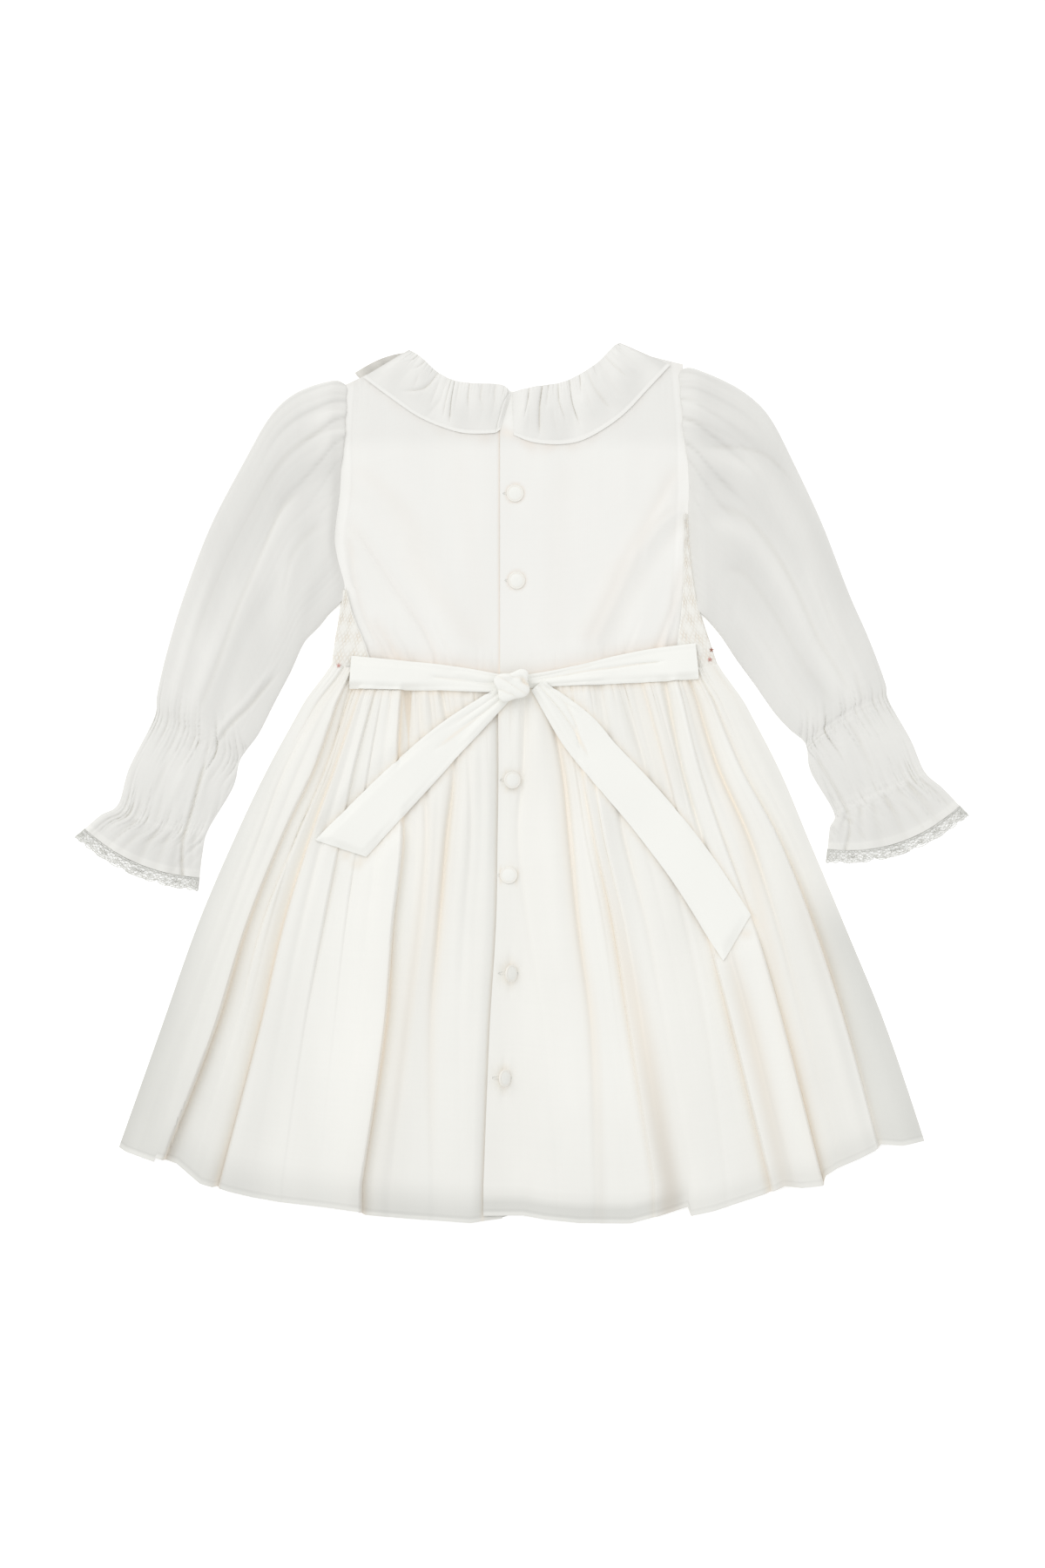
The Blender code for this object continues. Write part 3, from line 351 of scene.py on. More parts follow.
FLAP_REACH = 1.18  # the front collar's end at the left shoulder flares past its width
SHOULDER_DROP = 12.5  # the front collar's ends slope down this much to their outer edge

# The sash, each stretch as the run of its middle and its width.
SASH_RUNS = {
    "sash_band_left": rows(Stretch, (-109, 70, 20), (-76, 68, 18), (-44, 66, 15), (-15, 63, 11)),
    "sash_band_right": rows(Stretch, (110, 77, 22), (79, 74, 20), (48, 70, 15), (22, 66.5, 10), (1, 64, 8)),
    "sash_tail_left": rows(Stretch, (-13, 56, 11), (-46, 28, 22), (-77, -2, 27), (-115, -41, 30)),
    "sash_tail_right": rows(
        Stretch, (9, 62, 9), (33, 35, 24), (51, 13.5, 26), (78.5, -17.5, 28), (107, -54, 29), (135, -97.5, 30)
    ),
}
# The upper edge of its bands.
SASH_TOP = rows(
    Point,
    (-109, 80), (-76, 77), (-44, 73.5), (-15, 69), (1, 68), (22, 71.5), (48, 77.5), (79, 84), (110, 88),
)
SASH_REACH = 9.0  # the sash bridges folds closer than this
SASH_BARE = 6.0  # its height where nothing is below it
TAIL_SLANT = -15.0  # how far the cut end of a tail runs off square, its outer side the longer
KNOT_SIZE = (23, 19, 8)
KNOT_FLAT = 0.18  # the share of its height that is pressed flat below its middle
KNOT_AT = (-6.5, 61.5)
KNOT_TURN = 20.0

# The covered buttons: place, and the lean in degrees of those that stand turned in their buttonholes.
FULL_LEAN = 50.0  # at this lean a button stands in its hole
BUTTONS = rows(
    Button, (-5, 183, 0), (-4, 128, 0), (-7, 2, 18), (-9, -58, 0), (-8, -120, 50), (-12, -186, 50)
)

# How the cloth itself is made.
SMOOTH_ANGLE = math.radians(55)  # cloth bent less than this is shaded as one surface
LAWN_WALL = 0.5
THIN_WALL = 0.4  # of the front's narrow edges and collar
SASH_CLOTH_WALL = 0.8
SASH_WALL = 1.2  # the wall of the solids of the sash
HOLLOW_DEPTH = 2.4  # a crease this deep gets the full painted warm shade
HOLLOW_CLEAR = 0.12  # and one shallower than this none
SHADE_DEPTH = 0.12  # how much lighter or darker the painted light and shade of the shade tone make the cloth
CREASE_GLOW_COLOUR = (1, 0.92, 0.8)  # the colour of the painted glow in deep creases, which stands in for light that comes through the layers
SEAM_TUCK = 0.6  # a panel's edge runs this far into its seam
SEAM_RUN = 3.0  # the bodice's armhole edge runs this far in under the sleeve
SEAM_ALLOWANCE = 6.5
STITCH_PITCH = 2.2
STITCH_DIP = 0.22
HEM_STEP = 0.35  # a doubled edge stands this much higher
HEM_WIDTH = 3.6  # of the narrow hem at the skirt's edge
BAND_HEIGHT = 12.5  # the lining ends this far above it
HEM_SHADE = 27.0  # and the lawn greys towards it from here
PRESSED = 0.45  # the share of a fold's rise left under the sash
SMOCK_PITCH = 2.6
SMOCK_ROW = 2.2
SMOCK_TOP = 150.0

# The panels as they are cut, the share of that box that the cut fills where it isn't the whole of it, how
# each is held, and the faces of its grid across and down.
PANELS = {
    "collar_front": Panel(300, 31, None, "gathered", 220, 16),
    "front_skirt": Panel(590, 345, 0.88, "gathered", 180, 40),
    "front_bodice": Panel(230, 205, 0.85, "laid", 120, 60),
    "front_side_left": Panel(44, 48.5, 0.55, "gathered", 110, 120),
    "front_side_right": Panel(44, 96.5, 0.55, "gathered", 110, 120),
    "back_skirt_left": Panel(320, 345, 0.88, "gathered", 470, 76),
    "back_skirt_right": Panel(320, 345, 0.88, "gathered", 470, 76),
    "back_bodice_left": Panel(122, 215, 0.92, "laid", 120, 96),
    "back_bodice_right": Panel(122, 215, 0.92, "laid", 120, 96),
    "sleeve_left": Panel(200, 335, 0.85, "gathered", 176, 150),
    "sleeve_right": Panel(200, 335, 0.85, "gathered", 176, 150),
    "collar_left": Panel(128, 30, None, "gathered", 168, 40),
    "collar_right": Panel(140, 31, None, "gathered", 168, 40),
    "sash_band_left": Panel(105, 22, 18 / 22, "gathered", 150, 36),
    "sash_band_right": Panel(115, 24, 17 / 24, "gathered", 150, 36),
    "sash_tail_left": Panel(150, 32, 24.5 / 32, "gathered", 150, 36),
    "sash_tail_right": Panel(210, 32, 79 / 96, "gathered", 150, 36),
}

# Gathers and creases that hang from a seam: how far their row is shifted along it and how far apart they are,
# how high or deep they stand, and how far the shortest and the longest run.
WAIST_GATHERS = rows(Hang, (0, 7.84, 0.9, 25, 80), (40, 16.8, 0.54, 80, 200))
WAIST_CREASES = rows(Hang, (11, 5.6, 1.2, 16, 80), (0, 2.8, 0.5, 5, 28), (5, 15.12, 1.1, 50, 150))
FRONT_GATHERS = rows(Hang, (0, 11.2, 0.5, 40, 180))
BODICE_WAIST_CREASES = rows(Hang, (300, 7, 0.35, 4, 20))
BODICE_NECK_CREASES = rows(Hang, (100, 6.5, 0.4, 8, 45))
HEAD_GATHERS = rows(Hang, (0, 3.1, 0.9, 6, 34), (9, 6.8, 0.8, 15, 60))
SLEEVE_CREASES = rows(Hang, (31, 6.3, 0.35, 90, 300))
SHIRRING = rows(Hang, (0, 3.3, 1.1, 8, 36), (60, 7.59, 1.4, 22, 50))
COLLAR_GATHERS = rows(Hang, (0, 3.1, 0.7, 3, 16))

# How creases and shades fade at their ends: how far before the first stop and over what width, and how far
# past the last one and over what width.
BODICE_FADE = Fade(20, 20, 14, 30)
BODICE_SHADE_FADE = Fade(9, 14, 9, 14)
SLEEVE_FADE = Fade(0, 0.9, 0, 0.9)
SLEEVE_SHADE_FADE = Fade(0.4, 1, 0.4, 1)
COLLAR_FADE = Fade(0, 0.15, 0.08, 0.28)
SASH_FADE = Fade(0.06, 0.08, 0.06, 0.14)

LAST_PANEL = 9  # the fold on the right outside which the skirt is a single layer

# Painted soft shade streaks that run down the skirt's halves: how warm and how grey each is at the depths,
# and half its width.
SKIRT_SHADES = {
    LEFT: rows(
        ShadeStreak,
        (FOLDS[LEFT][1].xs, (0.1, 0.2, 0.25, 0.2, 0.2, 0.2), (0, 0, 0, 0, 0.1, 0.2), 1.6),
        (FOLDS[LEFT][3].xs, (0.2, 0.3, 0.35, 0.3, 0.3, 0.2), (0, 0, 0.1, 0.5, 0.7, 1.4), 1.6),
        (FOLDS[LEFT][5].xs, (0.3, 0.3, 0.1, 0, 0.5, 0), (0, 0, 0, 0, 0, 0.2), 1.6),
        ((-66, -63, -61, -66, -74, -88), (0.2, 0.2, 0.2, 0.3, 0.3, 0), (0, 0, 0, 0, 0.2, 0.3), 3.5),
        ((-53, -44, -48, -53, -58, -57), (0.2, 0.2, 0.3, 0.45, 0.25, 0), (0, 0, 0, 0, 0, 0.1), 3.5),
        ((-50, -50, -52, -60, -70, -80), (0, 0, 0, 0.05, 0, 0), (0, 0, 0, 0.1, 0.3, 0.3), 14),
    ),
    RIGHT: rows(
        ShadeStreak,
        ((13, 25, 28, 34, 44, 49), (0.2, 0.3, 0.35, 0.3, 0.35, 0.1), (0, 0, 0, 0, 0, 0.3), 4),
        ((30, 38, 46, 58, 74, 93), (0, 0.1, 0.1, 0.4, 0.6, 0.5), (0, 0, 0, 0, 0.2, 1.5), 7),
        ((78, 93, 106, 124, 143, 165), (0, 0, 0, 0.1, 0.6, 0.35), (0, 0, 0, 0, 0.2, 0.4), 6),
        ((104, 122, 140, 152, 167, 192), (0.2, 0.3, 0.35, 0.35, 0.35, 0.1), (0, 0, 0, 0, 0.1, 0.1), 5),
        ((112, 134, 154, 168, 184, 212), (0, 0, 0, 0, 0, 0), (0, 0, 0.1, 0.4, 0.5, 0.4), 13),
        ((114, 135, 159, 179, 199, 226), (0, 0, 0, 0.1, 0, 0), (0, 0, 0.2, 0.5, 0.8, 0.4), 5),
    ),
}
# Broad soft painted shades on the bodice, along the folds that run under it; stops run up it and rise is how
# strong a shade is.
BODICE_SHADES = {
    LEFT: rows(
        Track,
        ((90, 105, 137, 158, 181, 198), (-32, -42, -65, -69, -84, -102), 0.17, 9),
        ((80, 97, 119, 145, 163), (-55, -63, -78, -95, -108), 0.16, 4.5),
        ((80, 105, 131, 154), (-86, -100, -107, -109), 0.14, 3.5),
        ((76, 88, 101), (-76, -84, -92), 0.34, 5.5),
        ((90, 130, 170, 205), (-26, -30, -36, -40), 0.07, 6),
    ),
    RIGHT: rows(
        Track,
        ((92, 121, 144, 172, 196), (43, 56, 66, 83, 95), 0.24, 7),
        ((90, 112, 140), (42, 52, 64), 0.1, 14),
        ((148, 164, 176), (72, 84, 100), 0.14, 5),
        ((82, 94, 113, 133), (83, 88, 95, 99), 0.28, 4),
        ((90, 140, 200), (20, 22, 26), 0.07, 8),
    ),
}

# Creases in the collar: stops run from the neck to its edge and places along it from the centre back.
COLLAR_CREASES = {
    LEFT: rows(
        Track,
        ((0, 0.4, 0.85), (0.47, 0.46, 0.44), -1.5, 0.7),
        ((0, 0.4, 0.8), (0.5, 0.5, 0.49), -0.8, 0.7),
        ((0, 0.25, 0.5), (0.34, 0.34, 0.33), -1.1, 0.7),
        ((0, 0.25, 0.45), (0.27, 0.27, 0.26), -1, 0.7),
        ((0, 0.2, 0.35), (0.2, 0.2, 0.19), -0.8, 0.7),
        ((0, 0.4, 0.8, 1), (0.04, 0.1, 0.12, 0.12), -1.3, 0.8),
        ((0, 0.4, 0.75), (0.64, 0.68, 0.78), -1.2, 1.1),
        ((0.1, 0.4, 0.7), (0.6, 0.6, 0.6), -0.6, 1.4),
        ((0.25, 0.45, 0.6), (0.76, 0.75, 0.74), -0.7, 1.2),
        ((0, 0.15, 0.3), (0.78, 0.79, 0.82), -0.8, 0.8),
        ((0, 0.12, 0.25), (0.86, 0.87, 0.9), -0.7, 0.8),
        ((0.45, 0.7, 0.95), (0.54, 0.57, 0.6), -0.5, 1.5),
    ),
    RIGHT: rows(
        Track,
        ((0, 0.3, 0.6), (0.13, 0.11, 0.09), -1, 0.8),
        ((0, 0.35, 0.85), (0.22, 0.2, 0.2), -1.6, 0.8),
        ((0, 0.2, 0.4), (0.26, 0.25, 0.24), -0.8, 0.7),
        ((0, 0.3, 0.65), (0.33, 0.33, 0.37), -1, 0.8),
        ((0, 0.35, 0.75), (0.45, 0.44, 0.47), -1.5, 0.8),
        ((0, 0.15, 0.3), (0.54, 0.53, 0.52), -1.3, 0.7),
        ((0, 0.35, 0.8), (0.59, 0.6, 0.64), -0.9, 0.9),
        ((0.1, 0.45, 0.9), (0.66, 0.66, 0.7), 0.8, 1.6),
        ((0, 0.3, 0.6), (0.74, 0.76, 0.78), -0.9, 0.9),
        ((0.05, 0.35, 0.7), (0.82, 0.82, 0.84), 0.7, 1.6),
        ((0.3, 0.5, 0.75), (0.5, 0.53, 0.56), 0.7, 1.4),
        ((0.35, 0.6, 0.85), (0.28, 0.29, 0.31), -0.6, 1.6),
    ),
}

# Creases along the sleeves: stops are rings, and places run from the outer side to the inner one.
SLEEVE_TRACKS = {
    LEFT: rows(
        Track,
        ((4.3, 5, 5.5, 6.5, 7.6, 9), (0.94, 0.9, 0.87, 0.81, 0.75, 0.71), -1.1, 1.5),
        ((4.3, 5, 5.5, 6.5, 7.6, 9), (0.89, 0.86, 0.83, 0.77, 0.71, 0.67), 0.9, 2.4),
        (range(9, 14), (0.66, 0.68, 0.77, 0.82, 0.87), -2, 1.1),
        (range(9, 14), (0.71, 0.73, 0.82, 0.87, 0.92), 0.9, 2.6),
        (range(2, 9), (0.42, 0.4, 0.42, 0.45, 0.47, 0.46, 0.44), -0.8, 2.5),
        (range(2, 9), (0.36, 0.33, 0.34, 0.36, 0.38, 0.38, 0.36), 0.9, 6),
        (range(1, 8), (0.2, 0.2, 0.22, 0.22, 0.22, 0.22, 0.22), -0.8, 6),
        (range(1, 5), (0.62, 0.6, 0.64, 0.74), -0.7, 4),
        (range(5, 10), (0.16, 0.17, 0.18, 0.18, 0.16), 0.8, 4),
        (range(6, 10), (0.6, 0.58, 0.56, 0.54), 0.7, 5),
        ((9, 10, 11), (0.3, 0.32, 0.3), -0.9, 2.2),
        ((9, 10, 11), (0.48, 0.5, 0.5), 0.9, 3),
    ),
    RIGHT: rows(
        Track,
        ((1, 1.8, 2.6, 3.5, 4.5), (0.33, 0.27, 0.2, 0.12, 0.04), -0.9, 1.6),
        ((1.2, 2, 3, 4, 5), (0.4, 0.34, 0.27, 0.2, 0.13), 0.4, 5),
        ((1.5, 3, 4, 5, 6, 7, 8), (0.52, 0.46, 0.42, 0.4, 0.4, 0.38, 0.36), -0.9, 2.4),
        ((1.5, 3, 4, 5, 6, 7, 8), (0.6, 0.54, 0.5, 0.48, 0.47, 0.46, 0.45), 0.8, 5),
        (range(2, 9), (0.76, 0.68, 0.64, 0.62, 0.6, 0.58, 0.56), -0.8, 3),
        (range(4, 10), (0.8, 0.78, 0.78, 0.8, 0.82, 0.86), -0.7, 3),
        (range(5, 10), (0.22, 0.24, 0.25, 0.25, 0.24), -0.7, 2.4),
        (range(9, 14), (0.94, 0.88, 0.87, 0.84, 0.88), -1.4, 1.2),
        ((9, 10, 11), (0.45, 0.46, 0.44), -1.1, 1.8),
        ((9, 10, 11), (0.6, 0.62, 0.62), 0.9, 3),
    ),
}
# Creases and shades of the sleeves' heads, by how far round the armhole each starts and how far it spreads.
SLEEVE_HEADS = {
    LEFT: (
        (0.015, 0.02, 1.2), (0.09, 0.11, 2), (0.16, 0.23, 2.3), (0.25, 0.38, 1.9),
        (0.34, 0.5, 1), (0.45, 0.62, 0.6),
    ),
    RIGHT: (
        (0.02, 0.03, 1), (0.08, 0.09, 1.6), (0.13, 0.17, 1.5), (0.2, 0.27, 2),
        (0.3, 0.42, 1.8), (0.37, 0.52, 1.2), (0.5, 0.66, 0.6),
    ),
}
# Soft shades along the sleeves; below nought the cloth is darker.
SLEEVE_SHADES = {
    LEFT: rows(
        Track,
        ((0.8, 2, 3, 4, 5, 6), (0.38, 0.34, 0.3, 0.27, 0.24, 0.22), -0.5, 12),
        ((1, 2, 3), (0.8, 0.84, 0.92), -0.45, 9),
        ((1.5, 2.5, 3.5), (0.62, 0.66, 0.74), -0.22, 12),
        (range(4, 9), (0.6, 0.56, 0.56, 0.54, 0.52), -0.35, 7),
        ((2.5, 4, 5, 6, 7, 8), (0.44, 0.42, 0.42, 0.4, 0.38, 0.36), 0.55, 7),
        ((2.5, 3.5, 4.5), (0.6, 0.66, 0.74), 0.35, 14),
        (range(5, 9), (0.16, 0.16, 0.15, 0.14), 0.35, 6),
        (range(6, 10), (0.7, 0.66, 0.62, 0.58), 0.3, 7),
        ((0.3, 1, 1.8), (0.13, 0.14, 0.16), 0.5, 4),
        ((0.3, 1, 1.6), (0.21, 0.24, 0.3), 0.4, 4),
    ),
    RIGHT: rows(
        Track,
        ((0.6, 1.5, 2.5, 3.5, 4.5, 6), (0.28, 0.24, 0.18, 0.12, 0.08, 0.06), -0.45, 8),
        (range(1, 6), (0.44, 0.4, 0.36, 0.32, 0.28), -0.3, 7),
        ((1.5, 3, 4, 5, 6, 7, 8), (0.6, 0.52, 0.48, 0.46, 0.44, 0.42, 0.4), 0.45, 7),
        ((1, 2, 3), (0.34, 0.3, 0.25), 0.4, 5),
        (range(2, 6), (0.72, 0.64, 0.6, 0.58), -0.28, 8),
        (range(3, 9), (0.84, 0.82, 0.8, 0.8, 0.8, 0.8), 0.3, 8),
        (range(5, 9), (0.26, 0.26, 0.26, 0.26), 0.35, 5),
        ((6, 7, 8), (0.6, 0.6, 0.62), -0.25, 6),
        ((0.3, 1, 1.8), (0.14, 0.15, 0.17), 0.35, 4),
    ),
}
# Where the frills crease below the shirring, and how deeply.
FRILL_CREASES = {
    LEFT: ((0.12, 1), (0.26, 1.8), (0.37, 0.8), (0.5, 1.7), (0.63, 1.1), (0.76, 1.5), (0.9, 1)),
    RIGHT: ((0.09, 0.9), (0.21, 1.6), (0.33, 1), (0.47, 1.8), (0.6, 0.8), (0.73, 1.5), (0.88, 1.2)),
}
OVERHANG = 4.2  # the sleeve's puffed head hangs this far over its seam
SEAT_DROP = 0.7  # and its edge sits this much lower, on the bodice's
HEAD_DROP = 3.0  # and the gathers next to it this much lower
ARMPIT_TUCK = 2.5  # towards the armpit it runs in under the smocked side by this much
SHIRRED_RINGS = (9, 11)  # the frill starts at the last
CUFF_HEM = 4.2

LACE_PITCH = 2.0
NET_SLANT = 7.0  # the net's threads run this far sideways on their way down
# Half the widths of the threads.
LACE_THREAD = 0.13
LACE_CORD = 0.24
LACE_FINE_CORD = 0.16
LACE_PETAL = 0.28
LACE_PICOT = 0.18
STITCH_THREAD = 0.13
HOLE_STITCHES = 38  # round a buttonhole
PETAL_THREAD = 0.27

# Creases in the sash: stops run along it and places across it, from its lower or right edge.
SASH_CREASES = {
    "sash_band_left": rows(
        Track,
        ((0.55, 0.75, 0.9, 1), (0.5, 0.45, 0.4, 0.5), -1, 1.2),
        ((0.7, 0.85, 1), (0.75, 0.7, 0.65), 0.7, 1.6),
    ),
    "sash_band_right": rows(
        Track,
        ((0.2, 0.4, 0.6, 0.75, 0.9), (0.42, 0.4, 0.38, 0.42, 0.5), -1.3, 1),
        ((0.5, 0.7, 0.9, 1), (0.72, 0.7, 0.66, 0.6), 0.8, 1.4),
        ((0.55, 0.75, 0.95), (0.15, 0.2, 0.3), -0.8, 1),
    ),
    "sash_tail_left": rows(
        Track,
        ((0, 0.1, 0.25, 0.4), (0.62, 0.6, 0.52, 0.45), -1.4, 1.3),
        ((0, 0.12, 0.28), (0.35, 0.3, 0.22), -1, 1.2),
        ((0, 0.12, 0.3), (0.78, 0.8, 0.82), 1, 2),
    ),
    "sash_tail_right": rows(
        Track,
        ((0, 0.1, 0.22, 0.34), (0.55, 0.52, 0.42, 0.3), -1.5, 1.3),
        ((0.12, 0.2, 0.28), (0.75, 0.55, 0.28), -1.3, 1.4),
        ((0, 0.14, 0.3), (0.3, 0.22, 0.16), 1, 2.2),
        ((0, 0.1, 0.2), (0.8, 0.82, 0.88), -0.8, 1),
    ),
}

HOLE_HALF = 5.8  # half the length of a buttonhole
HOLE_SHIFT = 1.3  # a buttonhole's middle is this far towards the placket's edge from its button
BUTTON_BACK = 4.4  # the radius of a button's flat back
BUTTON_SEAT = 0.3  # a button sinks this far into the cloth
BUTTON_SHADOW_RADIUS = 5.8  # the radius of the painted shadow line round it
# How far out and how high a button's dome runs, over its rolled rim.
BUTTON_RINGS = (
    (5.3, 0.2), (5.5, 0.6), (5.5, 1), (5.3, 1.35), (5, 1.5), (4.65, 1.35), (4.3, 1.45), (3.2, 1.8),
    (1.6, 2), (0.5, 2.05),
)
FLOWER_SPOTS = {"pink": ((-116.3, 74.3), (118, 78.1)), "brown": ((119.1, 84.2),)}

# Each lawn's colours where it is single and where it is lined, the colour of its painted warm shade in
# creases and shadows, its share of the mottling, and what else is its own, among it the strength of its
# painted glow in creases.
LAWNS = {
    "Lined lawn": ("skirt_single", "lined", "hollow", 1, {}),
    "Bodice lawn": ("bodice_single", "bodice", "bodice_hollow", 0.8, {}),
    "Smocked lawn": ("skirt_single", "lined", "hollow", 1, {"glow": 0.2}),
    "Single lawn": ("single", "lined", "sleeve_hollow", 1.6, {"glow": 0.15}),
    "Collar lawn": ("single", "bodice", "collar_hollow", 1, {"glow": 0.15}),
    "Sash lawn": ("sash", "sash", "hollow", 0.5, {"glow": 0.2, "sheen": 0.25}),
    "Button lawn": ("sash", "sash", "hollow", 1, {"thread": 0.5}),
}
THREADS = {"Lace thread": "lace", "Sewing thread": "sash", "Pink thread": "pink", "Brown thread": "brown"}


# Curves and relief


def smooth_step(value):
    value = np.clip(value, 0.0, 1.0)
    return value * value * (3 - 2 * value)


def past(value, start, width):
    """0 up to a start, 1 from a width past it, and smooth between."""
    return smooth_step((value - start) / width)


def before(value, start, width):
    """1 up to a start, 0 from a width past it, and smooth between."""
    return 1 - past(value, start, width)


def bump(away, half):
    """1 at the middle of a soft ridge, falling off to each side."""
    return np.exp(-((away / half) ** 2))


def along(stations, values, at):
    """The values at places on a smooth curve through a table's rows; stations run up or down."""
    stations = np.array(stations, float)
    values = np.array(values, float)
    if stations[0] > stations[-1]:
        stations = stations[::-1]
        values = values[::-1]
    last = len(stations) - 1
    low = np.maximum(np.arange(last + 1) - 1, 0)
    high = np.minimum(np.arange(last + 1) + 1, last)
    widths = stations[high] - stations[low]
    slopes = (values[high] - values[low]) / widths.reshape((-1,) + (1,) * (values.ndim - 1))
    at = np.clip(np.asarray(at, float), stations[0], stations[-1])
    row = np.clip(np.searchsorted(stations, at, side="right") - 1, 0, last - 1)
    span = stations[row + 1] - stations[row]
    t = (at - stations[row]) / span
    if values.ndim > 1:
        t = t[..., None]
        span = span[..., None]
    held = values[row] * (1 - t) ** 2 * (1 + 2 * t) + values[row + 1] * t * t * (3 - 2 * t)
    turned = slopes[row] * t * (1 - t) ** 2 - slopes[row + 1] * t * t * (1 - t)
    return held + turned * span


def column(table, name):
    return [getattr(row, name) for row in table]


def read(table, stations, values, at):
    """One column of a table at places on another."""
    return along(column(table, stations), column(table, values), at)


def row_at(table, place):
    """The table's row at places between its rows, each column on a smooth curve."""
    values = along(range(len(table)), [tuple(row) for row in table], place)
    return type(table[0])(*np.moveaxis(values, -1, 0))


def uneven(value):
    """A steady hash of a number to a share from 0 to 1, for gathers that are all a little different."""
    return np.modf(np.abs(np.sin(value * 12.9898) * 43758.5453))[0]


def hollow_of(z, reach, closed=False):
    """How deep each point lies below its neighbours along its row: 0 on a ridge to 1 in a deep crease."""
    padded = np.pad(z, ((0, 0), (reach + 1, reach)), mode="wrap" if closed else "edge")
    total = np.cumsum(padded, axis=1)
    mean = (total[:, 2 * reach + 1 :] - total[:, : -2 * reach - 1]) / (2 * reach + 1)
    return np.clip((mean - z - HOLLOW_CLEAR) / HOLLOW_DEPTH, 0.0, 1.0)


def gathers(place, depth, row):
    """Pinched ridges that hang from a seam, each with its own height and length."""
    at = place / row.pitch
    at = at + 0.7 * np.sin(0.55 * at) + 0.25 * np.sin(1.7 * at + 1.0)
    which = np.floor(at)
    length = row.shortest + (row.longest - row.shortest) * uneven(which)
    tall = 0.55 + 0.75 * uneven(which + 50)
    return row.rise * tall * np.abs(np.sin(np.pi * at)) ** 0.8 * before(depth, 0, length)


def valleys(place, depth, row):
    """Narrow pinched creases that run from a seam, no two of them alike."""
    at = place / row.pitch
    at = at + 0.6 * np.sin(0.61 * at) + 0.28 * np.sin(1.9 * at + 1.0)
    which = np.round(at)
    length = row.shortest + (row.longest - row.shortest) * uneven(which + 7) ** 1.6
    deep = 0.35 + 0.9 * uneven(which + 31)
    pinch = 1 - np.abs(np.sin(np.pi * at)) ** 0.6
    return -row.rise * deep * pinch * before(depth, 0, length)


def hung(kind, table, place, depth):
    """What a table's rows of gathers or valleys come to together."""
    return sum(kind(place + row.shift, depth, row) for row in table)


def ends(place, stops, fade, edges=()):
    """1 between a track's stops, fading past the first and the last unless that is the cloth's own edge."""
    start = 1.0 if stops[0] in edges else smooth_step((place - stops[0] + fade.lead) / fade.start)
    stop = 1.0 if stops[-1] in edges else smooth_step((stops[-1] + fade.trail - place) / fade.stop)
    return start * stop


def tracked(tracks, fade, place, across, scale=1.0, edges=()):
    """What a table's creases come to together; across and the tracks' places are in shares of scale."""
    total = np.zeros(place.shape)
    for track in tracks:
        away = (across - along(track.stops, track.places, place)) * scale
        total += track.rise * ends(place, track.stops, fade, edges) * bump(away, track.half)
    return total


def hem_relief(above, place, width):
    """The doubled cloth of a narrow hem with its line of stitches; above is the height over its edge."""
    stitch = 0.55 + 0.45 * np.cos(math.tau * place / STITCH_PITCH)
    return HEM_STEP * before(above, width, 0.8) - STITCH_DIP * stitch * bump(above - 0.8 * width, 0.4)


def button_shadow(x, y):
    """The painted shadow round a button's edge on the cloth, and the painted dark shade round one that stands
    turned.
    """
    total = np.zeros(x.shape)
    for spot in BUTTONS:
        turned = spot.lean / FULL_LEAN
        away = np.hypot(x - spot.x, y - spot.y)
        total += 0.6 * (1 - turned) * bump(away - BUTTON_SHADOW_RADIUS, 0.9)
        total += 0.9 * turned * bump(np.hypot((x - spot.x) / 4.0, (y - spot.y) / 5.5), 1.0)
    return total


# Cloth


def points_of(mesh):
    """A mesh's points, one row each."""
    flat = np.empty(len(mesh.vertices) * 3)
    mesh.vertices.foreach_get("co", flat)
    return flat.reshape(-1, 3)


def set_tones(mesh, tones):
    """The tones that the material reads, one value for each point of the mesh."""
    for tone, values in tones.items():
        layer = mesh.attributes.new(tone, "FLOAT", "POINT")
        layer.data.foreach_set("value", values.astype(np.float32))


def dress(piece, look, node):
    """Gives a piece its material, parents it to the root and hides the part of the model that it stands in
    for.
    """
    piece.data.materials.clear()
    piece.data.materials.append(look)
    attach(piece, "root")
    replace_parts(piece, node)
    return piece


